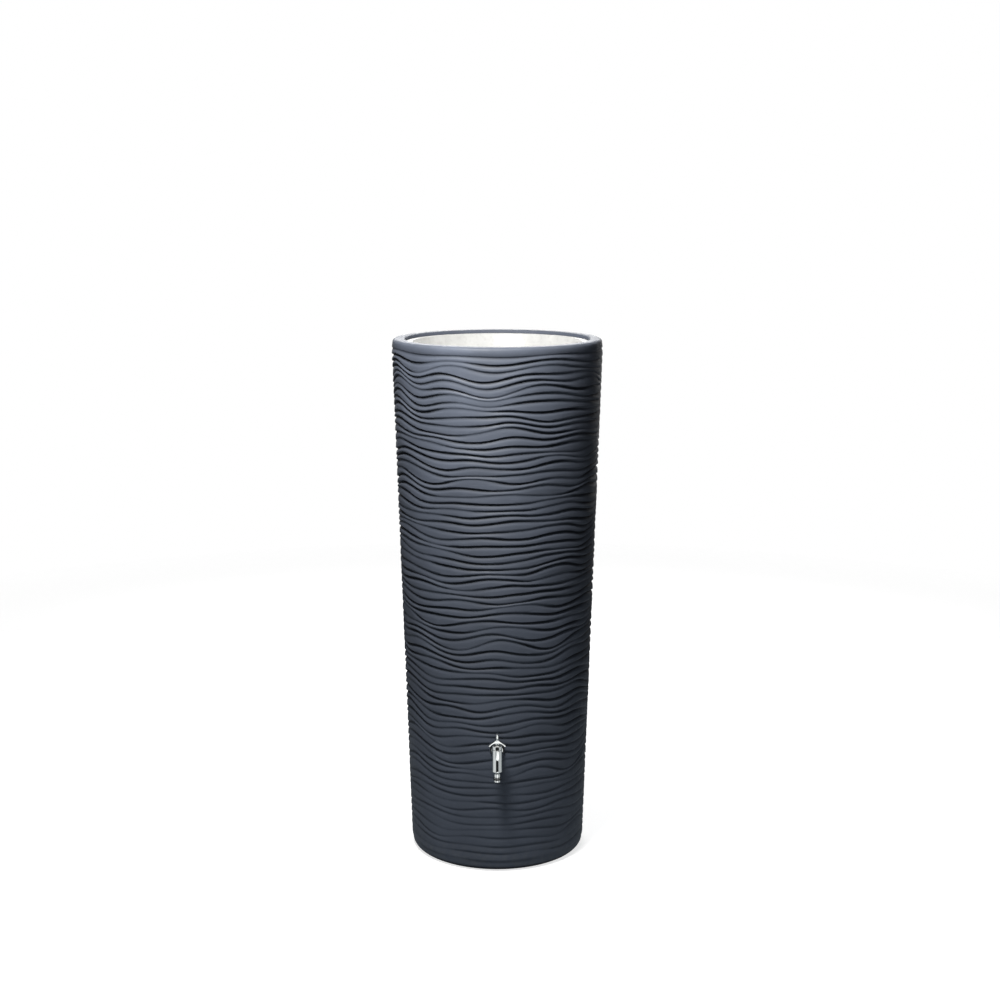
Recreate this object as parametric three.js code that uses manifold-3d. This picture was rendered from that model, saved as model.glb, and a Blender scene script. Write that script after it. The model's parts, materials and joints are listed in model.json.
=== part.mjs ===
// A tall rain barrel with a tap, whose top holds a lift-out planter bowl.
// Millimetres, +Z up. The origin is the centre of the base, on the ground. The tap faces -Y.
import * as THREE from 'three';
import { mergeVertices } from 'three/addons/utils/BufferGeometryUtils.js';
import Module from 'manifold-3d';

const wasm = await Module();
wasm.setup();

// ---------------------------------------------------------------- driving dimensions

// Tank: one moulded shell. Its outside is the mean surface of the rippled wall.
const TANK_HEIGHT = 1480;
const TOP_RADIUS = 293;
const BASE_RADIUS = 248;
const WALL = 5;
const BASE_FILLET = 21;
const RIM_ROUNDING = 10;
const RIM_WIDTH = 33; // from the outside of the wall in to the mouth
const MOUTH_ROUNDING = 3;
const SEAT_DEPTH = 18; // from the top of the rim down to the ledge that carries the bowl
const LEDGE_WIDTH = 14;

// Planter bowl, its seal and its strainer
const BOWL_DEPTH = 235;
const BOWL_WALL = 4;
const BOWL_TAPER = 48; // how much narrower the floor is than the mouth, in radius
const BOWL_CORNER = 26;
const BOWL_FLANGE_THICKNESS = 5;
const BOWL_CLEARANCE = 4; // between the bowl and the inside of the ledge
const SEAL_THICKNESS = 3;
const SEAL_CLEARANCE = 0.6; // between the seal and the mouth
const STRAINER_RADIUS = 30;
const STRAINER_WALL = 2;
const STRAINER_FLANGE = 5;
const STRAINER_DOME = 12;
const STRAINER_COLLAR = 10;
const STRAINER_SLOTS = 10;
const STRAINER_SLOT_WIDTH = 3;

// Threaded inserts moulded into the wall, for the tap and the drain
const THREAD_RADIUS = 13.2; // a 3/4 inch pipe thread, shown as a plain cylinder
const INSERT_LENGTH = 20;
const INSERT_WALL = 3.6;
const BOSS_PROUD = 3; // how far a boss's flat face stands out of the wall
const BOSS_WALL = 5.4; // plastic round an insert
const BOSS_FLOOR = 3; // plastic behind an insert

// Tap. Heights on the tap are from its inlet axis.
const TAP_HEIGHT = 366; // inlet axis above the ground
const TAP_REACH = 42; // from the boss face to the axis of the upright column
const TAP_GASKET_THICKNESS = 4;
const TAP_GASKET_WIDTH = 7; // beyond the thread
const TAP_FLANGE_WIDTH = 2.4; // beyond the thread
const TAP_FLANGE_THICKNESS = 5;
const TAP_NECK_RADIUS = 11;
const COLUMN_RADIUS = 14;
const COLUMN_TOP = 14;
const COLUMN_BOTTOM = -49;
const COLUMN_TAPER = 7;
const SPOUT_WALL = 2;
const SPOUT_END = -66;
const PAD_WIDTH = 12; // raised pad down the front of the column
const PAD_PROUD = 1.5;
const PAD_TOP = 12.5;
const PAD_BOTTOM = -12;
const INLAY_WIDTH = 7; // black strip let into the front of the column
const INLAY_TOP = -14;
const INLAY_BOTTOM = -47;
const INLAY_SLOT_DEPTH = 4;
const INLAY_RECESS = 1;

// Valve inside the column
const CHAMBER_WALL = 5;
const CHAMBER_LEDGE = 2.5; // how far the chamber's floor reaches in to the bore
const CHAMBER_BOTTOM = -13;
const CHAMBER_TOP = 9.3;
const PORT_WALL = 1.5; // how much narrower the plug's port is than the bore
const PORT_SEAL_WALL = 1.6;
const PORT_SEAL_LENGTH = 3;
const STEM_RADIUS = 3.5;
const O_RING_THICKNESS = 1.4;
const O_RING_INSET = 2; // from each end of the plug to the middle of its O-ring

// Bonnet and handle
const BONNET_TOP = 26.5;
const BONNET_CHAMFER = 1.5;
const BONNET_SPIGOT_WALL = 3.8; // how much slimmer the spigot is than the column
const BONNET_CAP_RADIUS = 4.5;
const BONNET_CAP_DEPTH = 3.5;
const STEM_SEAL_HEIGHT = 18;
const HUB_RADIUS = 6.5;
const HUB_CLEARANCE = 0.6; // between the hub and the bonnet
const HANDLE_RIDGE = 39.6; // top of the two wings where they meet
const HANDLE_SPAN = 47; // from wing tip to wing tip
const WING_DROP = 13.5;
const WING_THICKNESS = 4;
const WING_DEPTH = 13;
const BLADE_TOP = 59;
const BLADE_WIDTH = 6;
const BLADE_DEPTH = 20;
const BLADE_ROUNDING = 5;
const HANDLE_SCREW_RADIUS = 1.6;

// Spout nozzle, which screws into the bottom of the column
const NOZZLE_WALL = 1.6;
const NOZZLE_WIDTH = 2.5; // beyond the tap's bore
const NOZZLE_SPIGOT = 9;
const NOZZLE_COLLAR = 2.4;
const NOZZLE_LIP = 6.4;
const NOZZLE_CHAMFER = 1;
const NOZZLE_WASHER_THICKNESS = 1;
const NOZZLE_RING_THICKNESS = 3;

// Drain plug at the foot of the back
const DRAIN_HEIGHT = 62;
const DRAIN_SHANK = 16;
const DRAIN_FLANGE_WIDTH = 6; // beyond the thread
const DRAIN_FLANGE_THICKNESS = 3;
const DRAIN_HEAD_WIDTH = 2.8; // beyond the thread, at the corners of the hexagon
const DRAIN_HEAD_LENGTH = 8;
const DRAIN_SEAL_THICKNESS = 2.4;

// Inlet for a downpipe hose, high on the back
const INLET_DROP = 130; // below the top of the rim
const INLET_BORE = 13;
const INLET_WALL = 2.6;
const INLET_TAIL = 46;
const INLET_BARB = 1.4;
const INLET_BARBS = 4;
const INLET_THREAD_WALL = 7.5;
const INLET_FLANGE_WIDTH = 9; // beyond the thread
const INLET_FLANGE_THICKNESS = 4.5;
const INLET_GASKET_THICKNESS = 2.5;
const INLET_BOSS_WIDTH = 16; // beyond the thread
const INLET_BOSS_DEPTH = 12;
const INLET_NUT_WIDTH = 11; // beyond the thread, at the corners of the hexagon
const INLET_NUT_LENGTH = 8;
const INLET_THREAD_SPARE = 3; // thread showing past the nut

const GAP = 0.3; // left between pieces that touch or slide on each other
const AROUND_LARGE = 64; // facets round the tank and the bowl
const AROUND_SMALL = 32; // facets round the fittings
const OVERSHOOT = 1; // how far a cutting tool reaches past the face it opens

// ---------------------------------------------------------------- derived places

const MOUTH_RADIUS = TOP_RADIUS - RIM_WIDTH;
const LEDGE_Z = TANK_HEIGHT - SEAT_DEPTH;
const LEDGE_RADIUS = MOUTH_RADIUS - LEDGE_WIDTH;

const SEAL_RADIUS = MOUTH_RADIUS - SEAL_CLEARANCE;
const FLANGE_BOTTOM = LEDGE_Z + GAP + SEAL_THICKNESS + GAP;
const FLANGE_TOP = FLANGE_BOTTOM + BOWL_FLANGE_THICKNESS;
const FLANGE_RADIUS = SEAL_RADIUS - SEAL_THICKNESS - GAP;
const BOWL_RADIUS = LEDGE_RADIUS - BOWL_CLEARANCE;
const BOWL_BOTTOM = FLANGE_BOTTOM - BOWL_DEPTH;
const BOWL_FLOOR = BOWL_BOTTOM + BOWL_WALL;

const THREAD_HOLE = THREAD_RADIUS + GAP;
const INSERT_RADIUS = THREAD_HOLE + INSERT_WALL;
const TAP_FLANGE_BACK = TAP_GASKET_THICKNESS + 2 * GAP;
const COLUMN_FACE = -TAP_REACH - COLUMN_RADIUS;

const CHAMBER_RADIUS = COLUMN_RADIUS - CHAMBER_WALL;
const CHAMBER_EDGE = TAP_REACH - CHAMBER_RADIUS;
const TAP_BORE = CHAMBER_RADIUS - CHAMBER_LEDGE;
const PORT_RADIUS = TAP_BORE - PORT_WALL;
const PLUG_RADIUS = CHAMBER_RADIUS - GAP;
const PLUG_BOTTOM = CHAMBER_BOTTOM + GAP;
const PLUG_TOP = CHAMBER_TOP - GAP;
const GROOVE_HALF = O_RING_THICKNESS / 2 + GAP;
const PLUG_GROOVE_RADIUS = PLUG_RADIUS - O_RING_THICKNESS - 1.3 * GAP;
const PLUG_O_RING_RADIUS = PLUG_GROOVE_RADIUS + GROOVE_HALF;
const STEM_O_RING_RADIUS = STEM_RADIUS + GROOVE_HALF;
const PLUG_O_RING_HEIGHTS = [PLUG_BOTTOM + O_RING_INSET, PLUG_TOP - O_RING_INSET];

const HUB_BOTTOM = BONNET_TOP + HUB_CLEARANCE;
const STEM_TOP = HANDLE_RIDGE - 3;
const HANDLE_SCREW_HEIGHT = HUB_BOTTOM + 3;
const BONNET_CAP_HEIGHT = (COLUMN_TOP + GAP + BONNET_TOP - BONNET_CHAMFER) / 2;

const NOZZLE_RADIUS = TAP_BORE + NOZZLE_WIDTH;
const NOZZLE_SPIGOT_RADIUS = TAP_BORE - GAP;
const NOZZLE_BORE = NOZZLE_SPIGOT_RADIUS - NOZZLE_WALL;
const NOZZLE_TOP = SPOUT_END - NOZZLE_WASHER_THICKNESS - 2 * GAP;
const NOZZLE_GROOVE_TOP = NOZZLE_TOP - NOZZLE_COLLAR;
const NOZZLE_GROOVE_BOTTOM = NOZZLE_GROOVE_TOP - NOZZLE_RING_THICKNESS - 2 * GAP;
const NOZZLE_GROOVE_RADIUS = NOZZLE_RADIUS - 0.6 * NOZZLE_RING_THICKNESS;
const NOZZLE_END = NOZZLE_GROOVE_BOTTOM - NOZZLE_LIP;

const INLET_HEIGHT = TANK_HEIGHT - INLET_DROP;
const INLET_THREAD_RADIUS = INLET_BORE + INLET_THREAD_WALL;
const INLET_THREAD_END = -INLET_BOSS_DEPTH - GAP - INLET_NUT_LENGTH - INLET_THREAD_SPARE;

// ---------------------------------------------------------------- materials

function finish(color, roughness, metalness) {
  return new THREE.MeshStandardMaterial({ color, roughness, metalness });
}

const TANK_PLASTIC = finish(0x3a4049, 0.55, 0);
const BOWL_PLASTIC = finish(0xe9e8e3, 0.5, 0);
const BLACK_PLASTIC = finish(0x17181a, 0.5, 0);
const WHITE_PLASTIC = finish(0xf2f0e8, 0.4, 0);
const RUBBER = finish(0x111213, 0.8, 0);
const CHROME = finish(0xdfe0dc, 0.12, 1);
const BRASS = finish(0xb98f45, 0.35, 1);
const STEEL = finish(0x9a9c9e, 0.3, 1);

// ---------------------------------------------------------------- geometry helpers

// A closed outline of [radius, height] pairs turned round +Z.
function turned(outline, segments = AROUND_SMALL) {
  const before = (i) => outline[(i + outline.length - 1) % outline.length];
  const area = outline.reduce((sum, [r, z], i) => sum + before(i)[0] * z - r * before(i)[1], 0);
  const points = outline.map(([r, z]) => new THREE.Vector2(r, z));
  if (area < 0) {
    points.reverse();
  }
  const start = points.findIndex((p, i) => p.x === 0 && points.at(i - 1).x === 0);
  const profile =
    start < 0
      ? [...points, points[0].clone()]
      : [...points.slice(start), ...points.slice(0, start)];
  return new THREE.LatheGeometry(profile, segments).rotateX(Math.PI / 2);
}

function disc(radius, low, high, segments = AROUND_SMALL) {
  return turned([[0, low], [radius, low], [radius, high], [0, high]], segments);
}

function ring(inner, outer, low, high, segments = AROUND_SMALL) {
  return turned([[inner, low], [outer, low], [outer, high], [inner, high]], segments);
}

function torus(radius, thickness, height) {
  return new THREE.TorusGeometry(radius, thickness / 2, 8, AROUND_SMALL).translate(0, 0, height);
}

// Points of a round corner of an outline, from one angle to another, in degrees.
function corner(r, z, radius, from, to, steps) {
  return Array.from({ length: steps + 1 }, (_, i) => {
    const angle = THREE.MathUtils.degToRad(from + ((to - from) * i) / steps);
    return [r + radius * Math.cos(angle), z + radius * Math.sin(angle)];
  });
}

// Lays a piece turned about +Z along -Y, so that its heights become distances out of the wall.
function outward(geometry) {
  return geometry.rotateX(Math.PI / 2);
}

function onColumn(geometry) {
  return geometry.translate(0, -TAP_REACH, 0);
}

function box(width, depth, height, x, y, z) {
  return new THREE.BoxGeometry(width, depth, height).translate(x, y, z);
}

// An outline in X and Z pushed along Y, from y0 to y1.
function pushed(shape, y0, y1) {
  const options = { depth: y1 - y0, bevelEnabled: false, curveSegments: 6 };
  return new THREE.ExtrudeGeometry(shape, options).rotateX(Math.PI / 2).translate(0, y1, 0);
}

function solidOf(geometry) {
  const bare = geometry.clone();
  bare.deleteAttribute('normal');
  bare.deleteAttribute('uv');
  const merged = mergeVertices(bare, 1e-4);
  const vertProperties = merged.attributes.position.array;
  const triVerts = new Uint32Array(merged.index.array);
  return new wasm.Manifold(new wasm.Mesh({ numProp: 3, vertProperties, triVerts }));
}

function geometryOf(solid) {
  const mesh = solid.getMesh();
  const geometry = new THREE.BufferGeometry();
  geometry.setAttribute('position', new THREE.BufferAttribute(mesh.vertProperties, 3));
  geometry.setIndex(new THREE.BufferAttribute(mesh.triVerts, 1));
  geometry.computeVertexNormals();
  return geometry;
}

function joined(first, ...others) {
  return geometryOf(others.reduce((sum, part) => sum.add(solidOf(part)), solidOf(first)));
}

function cut(first, ...tools) {
  return geometryOf(tools.reduce((rest, tool) => rest.subtract(solidOf(tool)), solidOf(first)));
}

function piece(name, geometry, material) {
  const mesh = new THREE.Mesh(geometry, material);
  mesh.name = name;
  return mesh;
}

// ---------------------------------------------------------------- tank

// The outer radius of the tank's straight wall at a height.
function wallRadius(z) {
  const share = (z - BASE_FILLET) / (TANK_HEIGHT - RIM_ROUNDING - BASE_FILLET);
  return BASE_RADIUS + (TOP_RADIUS - BASE_RADIUS) * share;
}

// A group with its origin on a boss's flat face, and its -Y pointing out of the wall.
function onWall(height, atBack, ...pieces) {
  const group = new THREE.Group();
  group.position.set(0, (atBack ? 1 : -1) * (wallRadius(height) + BOSS_PROUD), height);
  group.rotation.z = atBack ? Math.PI : 0;
  group.updateMatrix();
  if (pieces.length > 0) {
    group.add(...pieces);
  }
  return group;
}

function shellOutline() {
  const filletR = BASE_RADIUS - BASE_FILLET;
  const rimR = TOP_RADIUS - RIM_ROUNDING;
  const rimZ = TANK_HEIGHT - RIM_ROUNDING;
  const mouthR = MOUTH_RADIUS + MOUTH_ROUNDING;
  const mouthZ = TANK_HEIGHT - MOUTH_ROUNDING;
  return [
    [0, 0],
    ...corner(filletR, BASE_FILLET, BASE_FILLET, -90, 0, 5),
    ...corner(rimR, rimZ, RIM_ROUNDING, 0, 90, 4),
    ...corner(mouthR, mouthZ, MOUTH_ROUNDING, 90, 180, 2),
    [MOUTH_RADIUS, LEDGE_Z],
    [LEDGE_RADIUS, LEDGE_Z],
    [LEDGE_RADIUS, LEDGE_Z - WALL],
    [MOUTH_RADIUS + WALL, LEDGE_Z - WALL],
    [MOUTH_RADIUS + WALL, TANK_HEIGHT - WALL],
    ...corner(rimR, rimZ, RIM_ROUNDING - WALL, 90, 0, 2),
    ...corner(filletR, BASE_FILLET, BASE_FILLET - WALL, 0, -90, 4),
    [0, WALL],
  ];
}

function tankShell() {
  const onBoss = (geometry, height, atBack) => {
    return outward(geometry).applyMatrix4(onWall(height, atBack).matrix);
  };
  const insertDepth = INSERT_LENGTH + BOSS_FLOOR;
  const insertPlaces = [[TAP_HEIGHT, false], [DRAIN_HEIGHT, true]];
  const bosses = [
    ...insertPlaces.map((place) => onBoss(disc(INSERT_RADIUS + BOSS_WALL, -insertDepth, 0), ...place)),
    onBoss(disc(INLET_THREAD_RADIUS + INLET_BOSS_WIDTH, -INLET_BOSS_DEPTH, 0), INLET_HEIGHT, true),
  ];
  const inletHole = disc(INLET_THREAD_RADIUS + GAP, -INLET_BOSS_DEPTH - OVERSHOOT, OVERSHOOT);
  const holes = [
    ...insertPlaces.map((place) => onBoss(disc(INSERT_RADIUS + GAP, -INSERT_LENGTH, OVERSHOOT), ...place)),
    ...insertPlaces.map((place) => onBoss(disc(THREAD_HOLE, -insertDepth - OVERSHOOT, 0), ...place)),
    onBoss(inletHole, INLET_HEIGHT, true),
  ];
  const shell = joined(turned(shellOutline(), AROUND_LARGE), ...bosses);
  return piece('tank_shell', cut(shell, ...holes), TANK_PLASTIC);
}

function threadedInsert(name) {
  return piece(name, outward(ring(THREAD_HOLE, INSERT_RADIUS, -INSERT_LENGTH + GAP, 0)), BRASS);
}

// ---------------------------------------------------------------- planter

function planterBowl() {
  const inside = BOWL_RADIUS - BOWL_WALL;
  const cornerR = BOWL_RADIUS - BOWL_TAPER - BOWL_CORNER;
  const cornerZ = BOWL_BOTTOM + BOWL_CORNER;
  const outline = [
    [STRAINER_RADIUS, BOWL_BOTTOM],
    ...corner(cornerR, cornerZ, BOWL_CORNER, -90, 0, 4),
    [BOWL_RADIUS, FLANGE_BOTTOM],
    [FLANGE_RADIUS, FLANGE_BOTTOM],
    [FLANGE_RADIUS, FLANGE_TOP],
    [inside, FLANGE_TOP],
    ...corner(cornerR, cornerZ, BOWL_CORNER - BOWL_WALL, 0, -90, 4),
    [STRAINER_RADIUS, BOWL_FLOOR],
  ];
  return piece('planter_bowl', turned(outline, AROUND_LARGE), BOWL_PLASTIC);
}

// An L-shaped ring: its foot lies under the bowl's flange and its lip stands round it.
function bowlSeal() {
  const foot = LEDGE_Z + GAP;
  const outline = [
    [LEDGE_RADIUS + GAP, foot],
    [SEAL_RADIUS, foot],
    [SEAL_RADIUS, FLANGE_TOP],
    [SEAL_RADIUS - SEAL_THICKNESS, FLANGE_TOP],
    [SEAL_RADIUS - SEAL_THICKNESS, foot + SEAL_THICKNESS],
    [LEDGE_RADIUS + GAP, foot + SEAL_THICKNESS],
  ];
  return piece('bowl_seal', turned(outline, AROUND_LARGE), RUBBER);
}

// A slotted dome whose collar drops into the hole in the bowl's floor.
function drainStrainer() {
  const seat = BOWL_FLOOR + GAP;
  const collar = STRAINER_RADIUS - GAP;
  const inside = collar - STRAINER_WALL;
  const domeTop = seat + STRAINER_DOME;
  const haunchRadius = 0.6 * inside;
  const haunchTop = seat + 0.8 * STRAINER_DOME;
  const outline = [
    [0, domeTop - STRAINER_WALL],
    [haunchRadius, haunchTop - STRAINER_WALL],
    [inside, seat],
    [inside, seat - STRAINER_COLLAR],
    [collar, seat - STRAINER_COLLAR],
    [collar, seat],
    [collar + STRAINER_FLANGE, seat],
    [collar + STRAINER_FLANGE, seat + STRAINER_WALL],
    [inside + 1, seat + STRAINER_WALL],
    [haunchRadius, haunchTop],
    [0, domeTop],
  ];
  const slotStart = 0.36 * inside;
  const slotLength = 0.5 * inside;
  const slots = Array.from({ length: STRAINER_SLOTS }, (_, i) => {
    const middle = slotStart + slotLength / 2;
    const slot = box(slotLength, STRAINER_SLOT_WIDTH, 2 * STRAINER_DOME, middle, 0, domeTop);
    return slot.rotateZ((2 * Math.PI * i) / STRAINER_SLOTS);
  });
  return piece('drain_strainer', cut(turned(outline), ...slots), BLACK_PLASTIC);
}

// ---------------------------------------------------------------- tap

// The tap's own frame: its origin is on the boss face, on the inlet axis, and -Y points out.

function roundEndedStrip(width, low, high) {
  const half = width / 2;
  const shape = new THREE.Shape();
  shape.absarc(0, high - half, half, 0, Math.PI, false);
  shape.absarc(0, low + half, half, Math.PI, 2 * Math.PI, false);
  return shape;
}

function tapBody() {
  const tailEnd = -INSERT_LENGTH + 2;
  const flangeRadius = THREAD_RADIUS + TAP_FLANGE_WIDTH;
  const flangeFront = TAP_FLANGE_BACK + TAP_FLANGE_THICKNESS;
  const tail = outward(turned([
    [0, tailEnd],
    [THREAD_RADIUS - 1, tailEnd],
    [THREAD_RADIUS, tailEnd + 1],
    [THREAD_RADIUS, TAP_FLANGE_BACK],
    [flangeRadius, TAP_FLANGE_BACK],
    [flangeRadius, flangeFront - 1],
    [flangeRadius - 1, flangeFront],
    [TAP_NECK_RADIUS + 2, flangeFront],
    [TAP_NECK_RADIUS, flangeFront + 3],
    [TAP_NECK_RADIUS, TAP_REACH],
    [0, TAP_REACH],
  ]));
  const column = onColumn(turned([
    [0, SPOUT_END],
    [TAP_BORE + SPOUT_WALL, SPOUT_END],
    [TAP_BORE + SPOUT_WALL, COLUMN_BOTTOM - COLUMN_TAPER],
    [COLUMN_RADIUS, COLUMN_BOTTOM],
    [COLUMN_RADIUS, COLUMN_TOP],
    [0, COLUMN_TOP],
  ]));
  const padDepth = COLUMN_RADIUS + PAD_PROUD;
  const padMiddle = (PAD_TOP + PAD_BOTTOM) / 2;
  const pad = box(PAD_WIDTH, padDepth, PAD_TOP - PAD_BOTTOM, 0, -padDepth / 2, padMiddle);
  const spigotHole = COLUMN_RADIUS - BONNET_SPIGOT_WALL + GAP;
  const sealHole = TAP_BORE + PORT_SEAL_WALL + GAP;
  const inlaySlot = roundEndedStrip(INLAY_WIDTH, INLAY_BOTTOM, INLAY_TOP);
  const body = cut(
    joined(tail, column, onColumn(pad)),
    onColumn(disc(CHAMBER_RADIUS, CHAMBER_BOTTOM, COLUMN_TOP + OVERSHOOT)),
    onColumn(disc(spigotHole, CHAMBER_TOP, COLUMN_TOP + OVERSHOOT)),
    onColumn(disc(TAP_BORE, SPOUT_END - OVERSHOOT, 0)),
    outward(disc(TAP_BORE, tailEnd - OVERSHOOT, TAP_REACH)),
    outward(disc(sealHole, CHAMBER_EDGE - PORT_SEAL_LENGTH - GAP, TAP_REACH)),
    pushed(inlaySlot, COLUMN_FACE - OVERSHOOT, COLUMN_FACE + INLAY_SLOT_DEPTH),
  );
  return piece('tap_body', body, CHROME);
}

function tapInlay() {
  const strip = roundEndedStrip(INLAY_WIDTH - 2 * GAP, INLAY_BOTTOM + GAP, INLAY_TOP - GAP);
  const front = COLUMN_FACE + INLAY_RECESS;
  const back = COLUMN_FACE + INLAY_SLOT_DEPTH - GAP;
  return piece('tap_inlay', pushed(strip, front, back), BLACK_PLASTIC);
}

function tapGasket() {
  const outer = THREAD_RADIUS + TAP_GASKET_WIDTH;
  const washer = ring(THREAD_RADIUS + GAP, outer, GAP, GAP + TAP_GASKET_THICKNESS);
  return piece('tap_gasket', outward(washer), RUBBER);
}

// A ring round the inlet bore, hollowed where it bears on the round plug.
function portSeal() {
  const reach = CHAMBER_RADIUS / 2;
  const inner = TAP_BORE;
  const outer = TAP_BORE + PORT_SEAL_WALL;
  const washer = outward(ring(inner, outer, CHAMBER_EDGE - PORT_SEAL_LENGTH, CHAMBER_EDGE + reach));
  const chamber = onColumn(disc(CHAMBER_RADIUS, CHAMBER_BOTTOM, CHAMBER_TOP));
  return piece('port_seal', cut(washer, chamber), WHITE_PLASTIC);
}

// The plug is bored up from below and out to +X, so a quarter turn brings its port to the inlet.
function valvePlug() {
  const plug = turned([
    [0, PLUG_BOTTOM],
    [PLUG_RADIUS, PLUG_BOTTOM],
    [PLUG_RADIUS, PLUG_TOP],
    [STEM_RADIUS, PLUG_TOP],
    [STEM_RADIUS, STEM_TOP],
    [0, STEM_TOP],
  ]);
  const port = disc(PORT_RADIUS, 0, PLUG_RADIUS + OVERSHOOT).rotateY(Math.PI / 2);
  const grooves = PLUG_O_RING_HEIGHTS.map((z) => {
    return ring(PLUG_GROOVE_RADIUS, PLUG_RADIUS + OVERSHOOT, z - GROOVE_HALF, z + GROOVE_HALF);
  });
  const bored = cut(plug, disc(PORT_RADIUS, PLUG_BOTTOM - OVERSHOOT, 1), port, ...grooves);
  return piece('valve_plug', onColumn(bored), BLACK_PLASTIC);
}

function oRing(name, radius, height) {
  return piece(name, onColumn(torus(radius, O_RING_THICKNESS, height)), RUBBER);
}

function bonnet() {
  const stemHole = STEM_RADIUS + GAP;
  const spigot = COLUMN_RADIUS - BONNET_SPIGOT_WALL;
  const shoulder = COLUMN_TOP + GAP;
  const body = turned([
    [stemHole, CHAMBER_TOP + GAP],
    [spigot, CHAMBER_TOP + GAP],
    [spigot, shoulder],
    [COLUMN_RADIUS, shoulder],
    [COLUMN_RADIUS, BONNET_TOP - BONNET_CHAMFER],
    [COLUMN_RADIUS - BONNET_CHAMFER, BONNET_TOP],
    [stemHole, BONNET_TOP],
  ]);
  const grooveOuter = STEM_O_RING_RADIUS + GROOVE_HALF;
  const grooveLow = STEM_SEAL_HEIGHT - GROOVE_HALF;
  const groove = ring(STEM_RADIUS, grooveOuter, grooveLow, STEM_SEAL_HEIGHT + GROOVE_HALF);
  const capHole = disc(BONNET_CAP_RADIUS + GAP, COLUMN_RADIUS - BONNET_CAP_DEPTH, COLUMN_RADIUS + 1);
  const cap = outward(capHole).translate(0, 0, BONNET_CAP_HEIGHT);
  return piece('bonnet', onColumn(cut(body, groove, cap)), CHROME);
}

function bonnetCap() {
  const back = COLUMN_RADIUS - BONNET_CAP_DEPTH + GAP;
  const cap = outward(disc(BONNET_CAP_RADIUS, back, COLUMN_RADIUS));
  return piece('bonnet_cap', onColumn(cap.translate(0, 0, BONNET_CAP_HEIGHT)), BLACK_PLASTIC);
}

// Two wings that slope down from the ridge, seen from the front.
function wingsShape() {
  const half = HANDLE_SPAN / 2;
  const tipTop = HANDLE_RIDGE - WING_DROP;
  const right = [
    [BLADE_WIDTH / 2, HANDLE_RIDGE],
    [half - 1, tipTop],
    [half, tipTop - 1],
    [half - 1, tipTop - WING_THICKNESS],
    [BLADE_WIDTH / 2, HANDLE_RIDGE - WING_THICKNESS],
  ];
  const left = right.map(([x, z]) => [-x, z]).reverse();
  return new THREE.Shape([...right, ...left].map(([x, z]) => new THREE.Vector2(x, z)));
}

// The upright blade, seen from the side: its top corners are rounded.
function bladeShape() {
  const half = BLADE_DEPTH / 2;
  const centre = half - BLADE_ROUNDING;
  const shoulder = BLADE_TOP - BLADE_ROUNDING;
  const shape = new THREE.Shape();
  shape.moveTo(-WING_DEPTH / 2, HANDLE_RIDGE - 1);
  shape.lineTo(WING_DEPTH / 2, HANDLE_RIDGE - 1);
  shape.absarc(centre, shoulder, BLADE_ROUNDING, 0, Math.PI / 2, false);
  shape.absarc(-centre, shoulder, BLADE_ROUNDING, Math.PI / 2, Math.PI, false);
  return shape;
}

function tapHandle() {
  const wings = pushed(wingsShape(), -WING_DEPTH / 2, WING_DEPTH / 2);
  const blade = pushed(bladeShape(), -BLADE_WIDTH / 2, BLADE_WIDTH / 2).rotateZ(Math.PI / 2);
  const hub = disc(HUB_RADIUS, HUB_BOTTOM, HANDLE_RIDGE - WING_THICKNESS / 2);
  const socket = disc(STEM_RADIUS + GAP, HUB_BOTTOM - OVERSHOOT, STEM_TOP + GAP);
  const screwHole = outward(disc(HANDLE_SCREW_RADIUS + GAP, STEM_RADIUS, HUB_RADIUS + OVERSHOOT));
  const handle = cut(
    joined(wings, blade, hub),
    socket,
    screwHole.translate(0, 0, HANDLE_SCREW_HEIGHT),
  );
  return piece('tap_handle', onColumn(handle), CHROME);
}

function handleScrew() {
  const screw = outward(disc(HANDLE_SCREW_RADIUS, STEM_RADIUS + GAP, HUB_RADIUS - GAP));
  return piece('handle_screw', onColumn(screw.translate(0, 0, HANDLE_SCREW_HEIGHT)), STEEL);
}

function spoutNozzle() {
  const outline = [
    [NOZZLE_BORE, SPOUT_END + NOZZLE_SPIGOT],
    [NOZZLE_BORE, NOZZLE_END],
    [NOZZLE_RADIUS - NOZZLE_CHAMFER, NOZZLE_END],
    [NOZZLE_RADIUS, NOZZLE_END + NOZZLE_CHAMFER],
    [NOZZLE_RADIUS, NOZZLE_GROOVE_BOTTOM],
    [NOZZLE_GROOVE_RADIUS, NOZZLE_GROOVE_BOTTOM],
    [NOZZLE_GROOVE_RADIUS, NOZZLE_GROOVE_TOP],
    [NOZZLE_RADIUS, NOZZLE_GROOVE_TOP],
    [NOZZLE_RADIUS, NOZZLE_TOP],
    [NOZZLE_SPIGOT_RADIUS, NOZZLE_TOP],
    [NOZZLE_SPIGOT_RADIUS, SPOUT_END + NOZZLE_SPIGOT],
  ];
  return piece('spout_nozzle', onColumn(turned(outline)), CHROME);
}

function nozzleWasher() {
  const low = NOZZLE_TOP + GAP;
  const washer = ring(TAP_BORE, TAP_BORE + SPOUT_WALL, low, low + NOZZLE_WASHER_THICKNESS);
  return piece('nozzle_washer', onColumn(washer), RUBBER);
}

function nozzleRing() {
  const radius = NOZZLE_GROOVE_RADIUS + GAP + NOZZLE_RING_THICKNESS / 2;
  const height = (NOZZLE_GROOVE_TOP + NOZZLE_GROOVE_BOTTOM) / 2;
  return piece('nozzle_ring', onColumn(torus(radius, NOZZLE_RING_THICKNESS, height)), RUBBER);
}

// ---------------------------------------------------------------- drain plug and inlet

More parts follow.
